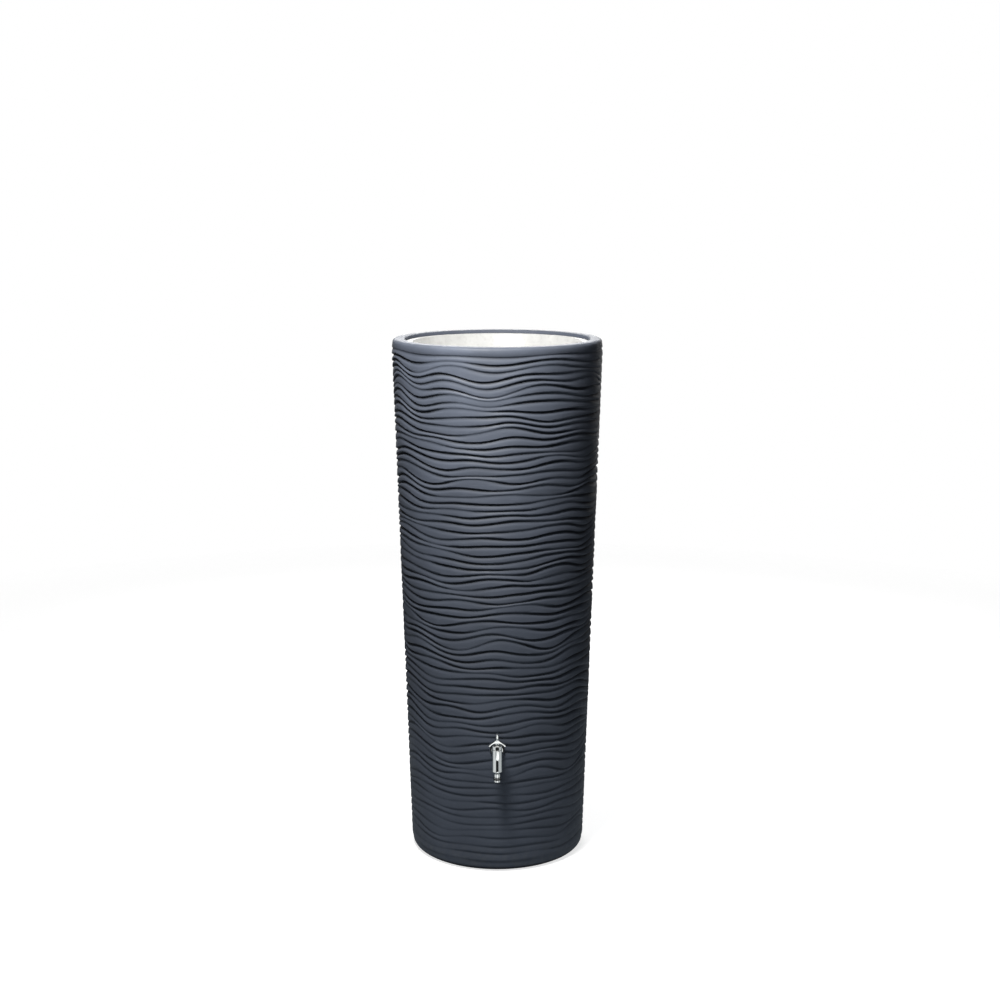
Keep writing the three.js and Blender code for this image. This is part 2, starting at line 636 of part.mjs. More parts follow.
function drainPlug() {
  const back = DRAIN_SEAL_THICKNESS + 2 * GAP;
  const front = back + DRAIN_FLANGE_THICKNESS;
  const body = turned([
    [0, -DRAIN_SHANK],
    [THREAD_RADIUS - 1, -DRAIN_SHANK],
    [THREAD_RADIUS, -DRAIN_SHANK + 1],
    [THREAD_RADIUS, back],
    [THREAD_RADIUS + DRAIN_FLANGE_WIDTH, back],
    [THREAD_RADIUS + DRAIN_FLANGE_WIDTH, front],
    [0, front],
  ]);
  const hexagon = disc(THREAD_RADIUS + DRAIN_HEAD_WIDTH, front - 1, front + DRAIN_HEAD_LENGTH, 6);
  return piece('drain_plug', outward(joined(body, hexagon)), BLACK_PLASTIC);
}

function drainSeal() {
  const outer = THREAD_RADIUS + DRAIN_FLANGE_WIDTH - 1;
  const washer = ring(THREAD_RADIUS + GAP, outer, GAP, GAP + DRAIN_SEAL_THICKNESS);
  return piece('drain_seal', outward(washer), RUBBER);
}

function inletFitting() {
  const tube = INLET_BORE + INLET_WALL;
  const flangeBack = INLET_GASKET_THICKNESS + 2 * GAP;
  const flangeFront = flangeBack + INLET_FLANGE_THICKNESS;
  const flangeRadius = INLET_THREAD_RADIUS + INLET_FLANGE_WIDTH;
  const barbsStart = flangeFront + 0.3 * INLET_TAIL;
  const barbLength = (0.7 * INLET_TAIL) / INLET_BARBS;
  const barbs = Array.from({ length: INLET_BARBS }, (_, i) => [
    [tube, barbsStart + i * barbLength],
    [tube + INLET_BARB, barbsStart + i * barbLength],
  ]).flat();
  const outline = [
    [INLET_BORE, INLET_THREAD_END],
    [INLET_THREAD_RADIUS, INLET_THREAD_END],
    [INLET_THREAD_RADIUS, flangeBack],
    [flangeRadius, flangeBack],
    [flangeRadius, flangeFront - 1],
    [flangeRadius - 1, flangeFront],
    [tube, flangeFront],
    ...barbs,
    [tube, flangeFront + INLET_TAIL],
    [INLET_BORE, flangeFront + INLET_TAIL],
  ];
  return piece('inlet_fitting', outward(turned(outline)), BLACK_PLASTIC);
}

function inletGasket() {
  const outer = INLET_THREAD_RADIUS + INLET_FLANGE_WIDTH - 1;
  const washer = ring(INLET_THREAD_RADIUS + GAP, outer, GAP, GAP + INLET_GASKET_THICKNESS);
  return piece('inlet_gasket', outward(washer), RUBBER);
}

function inletNut() {
  const front = -INLET_BOSS_DEPTH - GAP;
  const back = front - INLET_NUT_LENGTH;
  const hexagon = disc(INLET_THREAD_RADIUS + INLET_NUT_WIDTH, back, front, 6);
  const hole = disc(INLET_THREAD_RADIUS + GAP, back - OVERSHOOT, front + OVERSHOOT);
  return piece('inlet_nut', outward(cut(hexagon, hole)), BLACK_PLASTIC);
}

// ---------------------------------------------------------------- assembly

const tap = onWall(
  TAP_HEIGHT,
  false,
  threadedInsert('tap_insert'),
  tapGasket(),
  tapBody(),
  tapInlay(),
  portSeal(),
  valvePlug(),
  oRing('plug_o_ring_lower', PLUG_O_RING_RADIUS, PLUG_O_RING_HEIGHTS[0]),
  oRing('plug_o_ring_upper', PLUG_O_RING_RADIUS, PLUG_O_RING_HEIGHTS[1]),
  oRing('stem_o_ring', STEM_O_RING_RADIUS, STEM_SEAL_HEIGHT),
  bonnet(),
  bonnetCap(),
  tapHandle(),
  handleScrew(),
  nozzleWasher(),
  spoutNozzle(),
  nozzleRing(),
);
const drain = onWall(DRAIN_HEIGHT, true, threadedInsert('drain_insert'), drainSeal(), drainPlug());
const inlet = onWall(INLET_HEIGHT, true, inletFitting(), inletGasket(), inletNut());

const barrel = new THREE.Group();
barrel.name = 'rain_barrel';
barrel.add(tankShell(), planterBowl(), bowlSeal(), drainStrainer(), tap, drain, inlet);

export default barrel;
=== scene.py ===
import json
import math

import bmesh
import bpy
import numpy as np
from mathutils import Matrix, Vector

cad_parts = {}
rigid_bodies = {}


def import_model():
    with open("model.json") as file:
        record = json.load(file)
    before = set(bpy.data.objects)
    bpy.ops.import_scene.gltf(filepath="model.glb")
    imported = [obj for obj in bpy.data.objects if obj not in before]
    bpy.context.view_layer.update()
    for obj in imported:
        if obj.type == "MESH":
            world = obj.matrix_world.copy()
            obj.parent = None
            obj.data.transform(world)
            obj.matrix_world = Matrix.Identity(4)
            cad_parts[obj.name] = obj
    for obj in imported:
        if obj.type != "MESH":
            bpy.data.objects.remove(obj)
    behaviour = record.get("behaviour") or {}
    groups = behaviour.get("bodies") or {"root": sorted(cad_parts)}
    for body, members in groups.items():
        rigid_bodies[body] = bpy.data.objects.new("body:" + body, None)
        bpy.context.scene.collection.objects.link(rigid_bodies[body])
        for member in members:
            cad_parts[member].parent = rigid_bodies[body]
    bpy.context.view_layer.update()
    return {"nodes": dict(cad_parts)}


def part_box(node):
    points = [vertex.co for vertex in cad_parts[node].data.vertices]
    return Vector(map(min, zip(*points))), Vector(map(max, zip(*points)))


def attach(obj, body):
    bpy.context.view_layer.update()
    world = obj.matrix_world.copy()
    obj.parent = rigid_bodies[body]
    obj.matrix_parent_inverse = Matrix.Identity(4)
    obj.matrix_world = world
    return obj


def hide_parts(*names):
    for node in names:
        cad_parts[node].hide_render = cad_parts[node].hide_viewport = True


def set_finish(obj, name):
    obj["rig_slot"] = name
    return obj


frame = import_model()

# A tall rain barrel whose top holds a lift-out planter bowl. Metres, +Z up, the tap towards -Y.
# Shapes repeat the CAD's dimensions and are placed by the boxes of its nodes.

MM = 0.001
GAP = 0.3 * MM

# ---------------------------------------------------------------- tank dimensions

TANK_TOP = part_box("tank_shell")[1].z
TOP_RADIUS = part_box("tank_shell")[1].x
BASE_RADIUS = 248 * MM
WALL = 5 * MM
BASE_FILLET = 21 * MM
RIM_ROUNDING = 10 * MM
MOUTH_RADIUS = TOP_RADIUS - 33 * MM
MOUTH_ROUNDING = 3 * MM
LEDGE_Z = TANK_TOP - 18 * MM
LEDGE_RADIUS = MOUTH_RADIUS - 14 * MM
FOOT_RINGS = (70 * MM, 130 * MM, 190 * MM)
FOOT_RING_DEPTH = 1.2 * MM
COLUMNS = 172  # round the tank
AROUND_BOWL = 144
AROUND_SMALL = 64

# The relief: wavy ribs between grooves, which are listed from the foot up.
GROOVES = 72
LOWEST_GROOVE = 30 * MM
HIGHEST_GROOVE = 1455 * MM
PITCH_GROWTH = 0.2  # how much wider the ribs are at the foot than at the top, as a share
RELIEF_DEPTH = 5.1 * MM
RELIEF_CREST = 2.2 * MM  # how far the crests stand out of the CAD's mean surface
UNDERCUT = 4.6 * MM  # height of the steep underside of a rib
UPPER_SLOPE = 9.5 * MM  # height of the gentle slope at the top of a rib
LIP = 0.24  # how much a rib swells above its lower edge, as a share of the depth
LIP_HEIGHT = 5.5 * MM
LEAST_GAP = 7 * MM
GAP_SOFTNESS = 3 * MM
END_FADES = (0.15, 0.6)  # share of the waves kept by the outermost grooves
SWELL_SHARE = 0.74  # of the rises below
SWELL_ANGLE = 11.5  # degrees, half width of a swell
SWELL_HEIGHT = 45 * MM
WANDER = 5.4 * MM
WANDER_LINK = 0.62  # how much of its wander a groove shares with the one below
WANDER_WAVES = range(2, 9)
STRENGTH_WAVES = range(1, 7)
MEAN_STRENGTH, STRENGTH_SWING = 0.78, 0.36  # of the grooves' depth, which varies round the tank
STRENGTH_LIMITS = (0.3, 1)
FOOT_STRENGTH = 0.36  # depth of the lowest grooves, as a share
FADE_HEIGHT = 0.8  # below this the grooves get shallower
TOP_STRENGTH = 0.6  # depth of the topmost groove, as a share
NARROW_GAP = 15 * MM  # grooves closer than this are shallower
RELIEF_SEED = 11

# Swells on the front: for a height in metres, pairs of an angle in degrees from the tap,
# to the right, and how far the ribs rise there, in millimetres.
FRONT_SWELLS = {
    1.42: ((-66, 8), (-50, -8), (-29, 7), (-8, -10), (27, 12), (52, -8)),
    1.355: ((-68, 14), (-51, -12), (-31, 9), (-10, -13), (14, 10), (35, 6)),
    1.29: ((-68, 14), (-50, -14), (-26, 7), (12, 5), (44, -5)),
    1.235: ((-67, 14), (-48, -6), (-18, -10), (10, 14), (33, -6), (50, 4)),
    1.17: ((-66, 12), (-33, -8), (-10, 4), (35, 6)),
    1.12: ((-62, 10), (-33, -12), (-10, 11), (12, -13), (34, 10)),
    1.05: ((-64, 8), (-47, -12), (-28, 3), (-6, -9), (31, 13)),
    0.96: ((-64, 12), (-32, -12), (-7, 10), (14, -2), (45, 8)),
    0.89: ((-64, 14), (-25, -12), (7, -6), (33, 14), (60, -8)),
    0.82: ((-50, 8), (-30, -8), (-8, 4), (30, 8), (52, -4)),
    0.76: ((-64, 6), (-42, -8), (-12, 6), (10, -1), (34, 8), (60, -8)),
    0.69: ((-64, 8), (-32, -13), (-3, 12), (28, -9), (53, 8)),
    0.62: ((-62, 10), (-30, -15), (-2, 13), (29, -10), (52, 6)),
    0.56: ((-62, 12), (-31, -9), (-8, 10), (12, -10), (32, 6), (60, -8)),
    0.48: ((-64, 8), (-49, -7), (-30, 5), (-9, -8), (12, 9), (50, 2)),
    0.42: ((-64, 10), (-33, -7), (-6, 8), (20, -3), (35, 6)),
    0.35: ((-64, 10), (-30, -7), (0, 3), (30, 8), (60, -4)),
    0.28: ((-64, 12), (-31, -6), (33, 5)),
    0.2: ((-64, 10), (-48, 4), (-30, -8), (-5, 5), (35, 6)),
    0.12: ((-60, 6), (-35, -8), (0, 5)),
}
BACK_SWELL_ANGLES = range(82, 282, 22)  # degrees, where the front swells leave off
BACK_SWELL_SHIFT = 6  # degrees, at most
BACK_SWELL_RISE = (4, 14)  # millimetres

# ---------------------------------------------------------------- mesh helpers


def mesh_object(name, points, faces):
    """A closed mesh as an object, its faces turned outwards."""
    mesh = bpy.data.meshes.new(name)
    mesh.from_pydata([tuple(p) for p in points], [], faces)
    shell = bmesh.new()
    shell.from_mesh(mesh)
    bmesh.ops.recalc_face_normals(shell, faces=shell.faces)
    shell.to_mesh(mesh)
    shell.free()
    obj = bpy.data.objects.new(name, mesh)
    bpy.context.scene.collection.objects.link(obj)
    return obj


def arc(x, y, radius, start, end, steps):
    """Points of a round corner, from one angle to another, in degrees."""
    angles = np.radians(np.linspace(start, end, steps + 1))
    return [(x + radius * math.cos(a), y + radius * math.sin(a)) for a in angles]


def in_mm(outline):
    return [(x * MM, y * MM) for x, y in outline]


def softened(outline, radius, steps=3):
    """A closed outline with its corners rounded. Points on the axis stay as they are."""
    soft = []
    for i, point in enumerate(outline):
        here = Vector(point)
        back = Vector(outline[i - 1]) - here
        ahead = Vector(outline[(i + 1) % len(outline)]) - here
        if point[0] == 0 or back.angle(-ahead) < math.radians(20):
            soft.append(tuple(here))
            continue
        start = here + back.normalized() * min(radius, 0.45 * back.length)
        end = here + ahead.normalized() * min(radius, 0.45 * ahead.length)
        for share in np.linspace(0, 1, steps + 1):
            soft.append(tuple(start.lerp(here, share).lerp(here.lerp(end, share), share)))
    return soft


def divided(outline, step):
    """The outline with points added on its longer sides, so that shading stays true across them."""
    points = []
    for i, point in enumerate(outline):
        here, ahead = Vector(point), Vector(outline[(i + 1) % len(outline)])
        count = max(1, round((ahead - here).length / step))
        if here.x == 0 and ahead.x == 0:
            count = 1
        points.extend(tuple(here.lerp(ahead, k / count)) for k in range(count))
    return points


def swept(name, rows, place=Matrix.Identity(4)):
    """Joins rings of points, each a (count, 3) array or a single point for a pole.

    The last ring is joined to the first unless the rows start and end at a pole.
    """
    starts, points = [], []
    for row in rows:
        starts.append(len(points))
        points.extend(row)
    faces = []
    open_ended = len(rows[0]) == 1 and len(rows[-1]) == 1
    for i in range(len(rows) - 1 if open_ended else len(rows)):
        j = (i + 1) % len(rows)
        count = max(len(rows[i]), len(rows[j]))
        low = [starts[i] + (k % len(rows[i])) for k in range(count + 1)]
        high = [starts[j] + (k % len(rows[j])) for k in range(count + 1)]
        for k in range(count):
            corners = [low[k], low[k + 1], high[k + 1], high[k]]
            faces.append(list(dict.fromkeys(corners)))
    return mesh_object(name, [place @ Vector(p) for p in points], faces)


def circle(radius, height, around):
    if radius == 0:
        return [(0, 0, height)]
    turns = np.arange(around) * (2 * math.pi / around)
    return [(radius * math.cos(t), radius * math.sin(t), height) for t in turns]


def turned(name, outline, place=Matrix.Identity(4), around=96):
    """A closed outline of (radius, height) pairs turned round +Z.

    One that meets the axis starts and ends on it.
    """
    return swept(name, [circle(r, z, around) for r, z in outline], place)


def bar(name, outline, low, high, rounding, place, steps=3):
    """An outline of (x, y) points pushed along +Z, with its end edges rounded inwards."""
    edge = np.array(outline)
    ahead = np.roll(edge, -1, 0) - edge
    behind = edge - np.roll(edge, 1, 0)
    tangent = ahead / np.linalg.norm(ahead, axis=1)[:, None]
    tangent = tangent + behind / np.linalg.norm(behind, axis=1)[:, None]
    tangent = tangent / np.linalg.norm(tangent, axis=1)[:, None]
    inward = np.stack([-tangent[:, 1], tangent[:, 0]], 1)
    area = np.sum(edge[:, 0] * np.roll(edge[:, 1], -1) - np.roll(edge[:, 0], -1) * edge[:, 1])
    inward = inward * np.sign(area)
    layers = []
    for turn in np.radians(np.linspace(-90, 0, steps + 1)):
        layers.append((low + rounding * (1 + math.sin(turn)), rounding * (1 - math.cos(turn))))
    layers = layers + [(low + high - z, inset) for z, inset in reversed(layers)]
    points, faces = [], []
    count = len(edge)
    for z, inset in layers:
        points.extend((x, y, z) for x, y in edge + inset * inward)
    for layer in range(len(layers) - 1):
        for k in range(count):
            a, b = layer * count + k, layer * count + (k + 1) % count
            faces.append([a, b, b + count, a + count])
    faces.append(list(range(count)))
    faces.append([len(points) - count + k for k in range(count)])
    return mesh_object(name, [place @ Vector(p) for p in points], faces)


def polygon(radius, sides, corner):
    """A regular polygon with rounded corners."""
    turns = [2 * math.pi * k / sides for k in range(sides)]
    corners = [(radius * math.cos(t), radius * math.sin(t)) for t in turns]
    return softened(corners, corner, 4)


def settle(obj):
    """Makes an object's modifiers part of its mesh."""
    graph = bpy.context.evaluated_depsgraph_get()
    mesh = bpy.data.meshes.new_from_object(obj.evaluated_get(graph))
    obj.modifiers.clear()
    obj.data = mesh
    return obj


def combine(obj, operation, *tools):
    for tool in tools:
        modifier = obj.modifiers.new("combine", "BOOLEAN")
        modifier.operation = operation
        modifier.solver = "MANIFOLD"
        modifier.object = tool
    settle(obj)
    for tool in tools:
        bpy.data.objects.remove(tool)
    return obj


def joined(obj, *tools):
    return combine(obj, "UNION", *tools)


def cut(obj, *tools):
    return combine(obj, "DIFFERENCE", *tools)


def smooth(obj, sharp_angle=38):
    obj.data.shade_smooth()
    obj.data.set_sharp_from_angle(angle=math.radians(sharp_angle))
    return obj


# ---------------------------------------------------------------- node helpers


class Shader:
    """A Principled material under construction. Texture positions are the piece's own, in metres."""

    def __init__(self, name, colour, roughness, metallic=0.0):
        self.material = bpy.data.materials.new(name)
        self.material.use_nodes = True
        self.nodes = self.material.node_tree.nodes
        self.links = self.material.node_tree.links
        self.surface = self.nodes["Principled BSDF"]
        self.surface.inputs["Base Color"].default_value = (*colour, 1)
        self.surface.inputs["Roughness"].default_value = roughness
        self.surface.inputs["Metallic"].default_value = metallic
        self.position = self.nodes.new("ShaderNodeTexCoord").outputs["Object"]

    def node(self, kind, inputs=(), **settings):
        made = self.nodes.new(kind)
        for key, value in settings.items():
            setattr(made, key, value)
        for key, value in dict(inputs).items():
            if isinstance(value, bpy.types.NodeSocket):
                self.links.new(value, made.inputs[key])
            else:
                made.inputs[key].default_value = value
        return made

    def stretched(self, x, y, z):
        inputs = {"Vector": self.position, "Scale": (x, y, z)}
        return self.node("ShaderNodeMapping", inputs).outputs["Vector"]

    def noise(self, scale, detail=3.0, vector=None, distortion=0.0):
        inputs = {
            "Vector": vector or self.position,
            "Scale": scale,
            "Detail": detail,
            "Distortion": distortion,
        }
        return self.node("ShaderNodeTexNoise", inputs).outputs["Fac"]

    def cells(self, scale):
        inputs = {"Vector": self.position, "Scale": scale}
        return self.node("ShaderNodeTexVoronoi", inputs).outputs["Distance"]

    def ranged(self, value, low, high, to_low=0.0, to_high=1.0):
        inputs = {
            "Value": value,
            "From Min": low,
            "From Max": high,
            "To Min": to_low,
            "To Max": to_high,
        }
        return self.node("ShaderNodeMapRange", inputs).outputs["Result"]

    def sum(self, a, b):
        return self.node("ShaderNodeMath", {0: a, 1: b}, operation="ADD").outputs["Value"]

    def times(self, a, b):
        return self.node("ShaderNodeMath", {0: a, 1: b}, operation="MULTIPLY").outputs["Value"]

    def blend(self, share, a, b):
        """From colour a to colour b."""
        made = self.node("ShaderNodeMix", data_type="RGBA")
        for socket, value in ((made.inputs[0], share), (made.inputs[6], a), (made.inputs[7], b)):
            if isinstance(value, bpy.types.NodeSocket):
                self.links.new(value, socket)
            elif socket == made.inputs[0]:
                socket.default_value = value
            else:
                socket.default_value = (*value, 1)
        return made.outputs[2]

    def attribute(self, name):
        return self.node("ShaderNodeAttribute", attribute_name=name).outputs["Fac"]

    def upward(self):
        """How far a face looks up, from -1 to 1."""
        normal = self.node("ShaderNodeNewGeometry").outputs["Normal"]
        return self.node("ShaderNodeSeparateXYZ", {"Vector": normal}).outputs["Z"]

    def height(self):
        return self.node("ShaderNodeSeparateXYZ", {"Vector": self.position}).outputs["Z"]

    def paint(self, colour, roughness):
        self.links.new(colour, self.surface.inputs["Base Color"])
        self.links.new(roughness, self.surface.inputs["Roughness"])

    def bump(self, height, distance, strength):
        inputs = {"Height": height, "Distance": distance, "Strength": strength}
        normal = self.node("ShaderNodeBump", inputs).outputs["Normal"]
        self.links.new(normal, self.surface.inputs["Normal"])


# ---------------------------------------------------------------- materials


def shade(colour, factor):
    return tuple(min(1.0, c * factor) for c in colour)


def tank_plastic():
    """Slate plastic: painted shade in the grooves, dust where it faces up, a splashed foot, and ribs
    whose crests are scuffed and carry a painted highlight.
    """
    colour = (0.074, 0.0855, 0.112)
    s = Shader("tank_plastic", colour, 0.57)
    s.surface.inputs["Specular IOR Level"].default_value = 0.3
    mottling = s.ranged(s.noise(9, 4), 0.3, 0.7)
    body = s.blend(mottling, shade(colour, 0.9), shade(colour, 1.1))
    groove = s.attribute("groove")
    # Painted shade: the deeper a point lies in a groove, the nearer its colour goes to near-black
    # navy, in place of the shadow under each rib.
    groove_shade = s.ranged(groove, 0.1, 0.8, 0.0, 0.85)
    body = s.blend(groove_shade, body, (0.004, 0.0055, 0.0095))
    specks = s.times(s.ranged(s.noise(420, 2), 0.62, 0.8), 0.12)
    body = s.blend(specks, body, shade(colour, 2.4))
    patches = s.ranged(s.noise(38, 5), 0.35, 0.75, 0.1, 0.5)
    dust = s.times(s.ranged(s.upward(), 0.05, 0.9), patches)
    body = s.blend(s.times(dust, 0.15), body, (0.3, 0.3, 0.29))
    spots = s.ranged(s.noise(60, 5), 0.4, 0.7, 0.0, 0.2)
    splash = s.times(s.ranged(s.height(), 0.0, 0.09, 1, 0), spots)
    body = s.blend(splash, body, (0.2, 0.185, 0.16))
    # Crests lightened in scuffed streaks: partly wear, partly a painted highlight along the ribs.
    scuffs = s.ranged(s.noise(30, 6, s.stretched(1, 1, 7)), 0.58, 0.72)
    crest = s.ranged(groove, 0.0, 0.12, 1, 0)
    wear_and_highlight = s.times(scuffs, crest)
    body = s.blend(s.times(wear_and_highlight, 0.18), body, shade(colour, 1.9))
    satin = s.ranged(s.noise(55, 4), 0.3, 0.7, 0.52, 0.62)
    satin = s.sum(satin, s.times(groove, 0.15))
    satin = s.sum(satin, s.times(wear_and_highlight, 0.1))
    s.paint(body, satin)
    pebbles = s.sum(s.cells(620), s.times(s.noise(1400, 3), 0.8))
    s.bump(pebbles, 0.18 * MM, 0.55)
    return s.material


def moulded_plastic(name, colour, roughness, dirt, dirt_colour=(0.12, 0.1, 0.08)):
    """A plain moulded plastic: fine grain, faint clouding, light scratches and dirt in patches."""
    s = Shader(name, colour, roughness)
    clouds = s.ranged(s.noise(26, 4), 0.3, 0.7)
    body = s.blend(clouds, shade(colour, 0.93), shade(colour, 1.06))
    soil = s.times(s.ranged(s.noise(85, 6, distortion=0.4), 0.5, 0.78), dirt)
    body = s.blend(soil, body, dirt_colour)
    scratches = s.ranged(s.noise(70, 5, s.stretched(1, 1, 9)), 0.62, 0.7)
    body = s.blend(s.times(scratches, 0.12), body, shade(colour, 1.5))
    gloss = s.ranged(s.noise(120, 4), 0.3, 0.7, roughness - 0.07, roughness + 0.08)
    gloss = s.sum(gloss, s.times(soil, 0.3))
    s.paint(body, gloss)
    grain = s.sum(s.noise(800, 3), s.times(s.cells(400), 0.4))
    s.bump(grain, 0.06 * MM, 0.5)
    return s.material


def rubber():
    """Black rubber with a grey bloom in patches."""
    colour = (0.011, 0.011, 0.012)
    s = Shader("rubber", colour, 0.7)
    bloom = s.ranged(s.noise(140, 5), 0.45, 0.75, 0.0, 0.35)
    gloss = s.ranged(s.noise(300, 3), 0.3, 0.7, 0.6, 0.82)
    s.paint(s.blend(bloom, colour, (0.05, 0.05, 0.052)), gloss)
    s.bump(s.noise(1800, 2), 0.05 * MM, 0.5)
    return s.material


def chrome():
    """Bright plating: fine wiping marks, a few water spots, and slight casting waves under it."""
    colour = (0.78, 0.79, 0.77)
    s = Shader("chrome", colour, 0.12, 1.0)
    spots = s.ranged(s.cells(190), 0.1, 0.16, 1, 0)
    spots = s.times(spots, s.ranged(s.noise(60, 3), 0.52, 0.66))
    haze = s.ranged(s.noise(90, 5), 0.35, 0.75)
    body = s.blend(s.times(spots, 0.4), colour, (0.55, 0.56, 0.55))
    wiped = s.ranged(s.noise(240, 4, s.stretched(1, 1, 0.15)), 0.35, 0.7, 0.07, 0.17)
    gloss = s.sum(wiped, s.times(haze, 0.05))
    s.paint(body, s.sum(gloss, s.times(spots, 0.3)))
    s.bump(s.noise(95, 2), 0.05 * MM, 0.4)
    return s.material


def metal(name, colour, roughness, tarnish_colour):
    """Turned metal: tool marks, and tarnish in patches."""
    s = Shader(name, colour, roughness, 1.0)
    tarnish = s.ranged(s.noise(150, 6), 0.42, 0.72, 0.0, 0.6)
    gloss = s.ranged(s.noise(260, 4), 0.3, 0.7, roughness - 0.08, roughness + 0.15)
    s.paint(s.blend(tarnish, colour, tarnish_colour), gloss)
    s.bump(s.noise(900, 2), 0.04 * MM, 0.5)
    return s.material


SLOTS = {
    "tank_plastic": tank_plastic(),
    "bowl_plastic": moulded_plastic("bowl_plastic", (0.76, 0.755, 0.73), 0.42, dirt=0.16),
    "black_plastic": moulded_plastic(
        "black_plastic", (0.012, 0.0125, 0.013), 0.45, dirt=0.12, dirt_colour=(0.05, 0.045, 0.04)
    ),
    "white_plastic": moulded_plastic("white_plastic", (0.82, 0.8, 0.74), 0.35, dirt=0.06),
    "rubber": rubber(),
    "chrome": chrome(),
    "brass": metal("brass", (0.52, 0.33, 0.1), 0.32, (0.2, 0.12, 0.04)),
    "steel": metal("steel", (0.36, 0.36, 0.37), 0.3, (0.2, 0.17, 0.14)),
}


def finished(obj, body, slot, *nodes):
    """Rides a piece on its body in place of CAD nodes, in the finish of its slot."""
    obj.data.materials.clear()
    obj.data.materials.append(SLOTS[slot])
    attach(obj, body)
    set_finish(obj, slot)
    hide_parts(*nodes)
    return obj


# ---------------------------------------------------------------- tank


def wall_radius(z):
    """Radius of the CAD's smooth wall."""
    share = (z - BASE_FILLET) / (TANK_TOP - RIM_ROUNDING - BASE_FILLET)
    return BASE_RADIUS + (TOP_RADIUS - BASE_RADIUS) * share


def eased(share):
    """From 0 to 1 with a soft start and end."""
    share = np.clip(share, 0, 1)
    return share * share * (3 - 2 * share)


def crest_radius(z):
    """Radius of the ribs' crests, which fade into the plain wall at the rim and the foot."""
    top = TANK_TOP - RIM_ROUNDING
    ends = eased((top - z) / (14 * MM)) * eased((z - BASE_FILLET) / (10 * MM))
    return wall_radius(z) + RELIEF_CREST * ends


def swells(random):
    """Every swell as (height, angle, rise): those of the front, and random ones round the back."""
    found = []
    for z, front in FRONT_SWELLS.items():
        found.extend((z, angle, rise * MM) for angle, rise in front)
        sign = random.choice((-1, 1))
        for angle in BACK_SWELL_ANGLES:
            rise = sign * random.uniform(*BACK_SWELL_RISE)
            shift = random.uniform(-BACK_SWELL_SHIFT, BACK_SWELL_SHIFT)
            found.append((z, angle + shift, rise * MM))
            sign = -sign
    return found


def waves(random, orders, angles):
    """A smooth random curve round the tank, about 1 high."""
    curve = np.zeros(len(angles))
    for order in orders:
        a, b = random.normal(0, 1, 2)
        curve += a * np.cos(order * angles) + b * np.sin(order * angles)
    return curve / math.sqrt(len(orders))


def groove_lines(random, angles):
    """Height of every groove at every angle, from the foot up, kept a least distance apart."""
    pitches = np.linspace(1 + PITCH_GROWTH, 1, GROOVES - 1)
    rises = np.concatenate([[0], np.cumsum(pitches)]) / pitches.sum()
    levels = LOWEST_GROOVE + (HIGHEST_GROOVE - LOWEST_GROOVE) * rises
    heights = np.repeat(levels[:, None], len(angles), 1)
    degrees = np.degrees(angles)
    for z, angle, rise in swells(random):
        across = (degrees - angle + 180) % 360 - 180
        spread = np.exp(-0.5 * (across / SWELL_ANGLE) ** 2)
        reach = np.exp(-0.5 * ((levels - z) / SWELL_HEIGHT) ** 2)
        heights += SWELL_SHARE * rise * reach[:, None] * spread[None, :]
    wander = waves(random, WANDER_WAVES, angles)
    for line in range(GROOVES):
        fresh = waves(random, WANDER_WAVES, angles)
        wander = WANDER_LINK * wander + math.sqrt(1 - WANDER_LINK**2) * fresh
        heights[line] += WANDER * wander
    for i, share in enumerate(END_FADES):
        for line in (i, GROOVES - 1 - i):
            heights[line] = levels[line] + share * (heights[line] - levels[line])
    gaps = np.diff(heights, axis=0)
    gaps = LEAST_GAP + GAP_SOFTNESS * np.log1p(np.exp((gaps - LEAST_GAP) / GAP_SOFTNESS))
    gaps *= (heights[-1] - heights[0]) / gaps.sum(0)
    return heights[0] + np.concatenate([np.zeros((1, len(angles))), np.cumsum(gaps, 0)])


def groove_strength(random, lines, angles):
    """How deep every groove is at every angle, as a share of the relief's depth."""
    swings = np.array([waves(random, STRENGTH_WAVES, angles) for _ in lines])
    strength = np.clip(MEAN_STRENGTH + STRENGTH_SWING * swings, *STRENGTH_LIMITS)
    gaps = np.diff(lines, axis=0)
    narrow = np.concatenate([gaps[:1], np.minimum(gaps[:-1], gaps[1:]), gaps[-1:]])
    strength *= np.clip(narrow / NARROW_GAP, 0.5, 1)
    strength *= FOOT_STRENGTH + (1 - FOOT_STRENGTH) * eased(lines / FADE_HEIGHT)
    strength[-1] *= TOP_STRENGTH
    return strength


def relief_rows(angles):
    """The rippled wall's rings of points, from the foot up."""
    random = np.random.default_rng(RELIEF_SEED)
    lines = groove_lines(random, angles)
    strength = groove_strength(random, lines, angles)
    gaps = np.diff(lines, axis=0)
    rows = []
    for i, gap in enumerate(gaps):
        under = np.minimum(UNDERCUT, 0.32 * gap)
        slope = np.minimum(UPPER_SLOPE, 0.5 * gap)
        flat = gap - under - slope
        places = [0 * gap, 0.4 * under, 0.85 * under, under + 0.2 * flat]
        places += [under + 0.65 * flat, gap - 0.78 * slope, gap - 0.3 * slope]
        for place in places:
            risen = eased(place / under)
            lip = LIP * risen * np.exp(-np.maximum(place - under, 0) / LIP_HEIGHT)
            dent = strength[i] * (1 - risen - lip)
            dent += strength[i + 1] * (1 - eased((gap - place) / slope))
            rows.append((lines[i] + place, dent))
    for place in (0, 0.4 * UNDERCUT, 0.9 * UNDERCUT):
        rows.append((lines[-1] + place, strength[-1] * (1 - eased(place / UNDERCUT))))
    rings = []
    for z, dent in rows:
        radius = crest_radius(z) - RELIEF_DEPTH * dent
        rings.append(np.stack([radius * np.sin(angles), -radius * np.cos(angles), z], 1))
    return rings


def plain_rows(outline, angles):
    """Rings for (radius, height) pairs, in step with the rippled wall's."""
    rings = []
    for radius, z in outline:
        if radius == 0:
            rings.append(np.array([(0, 0, z)]))
        else:
            level = np.full(len(angles), z)
            rings.append(np.stack([radius * np.sin(angles), -radius * np.cos(angles), level], 1))
    return rings


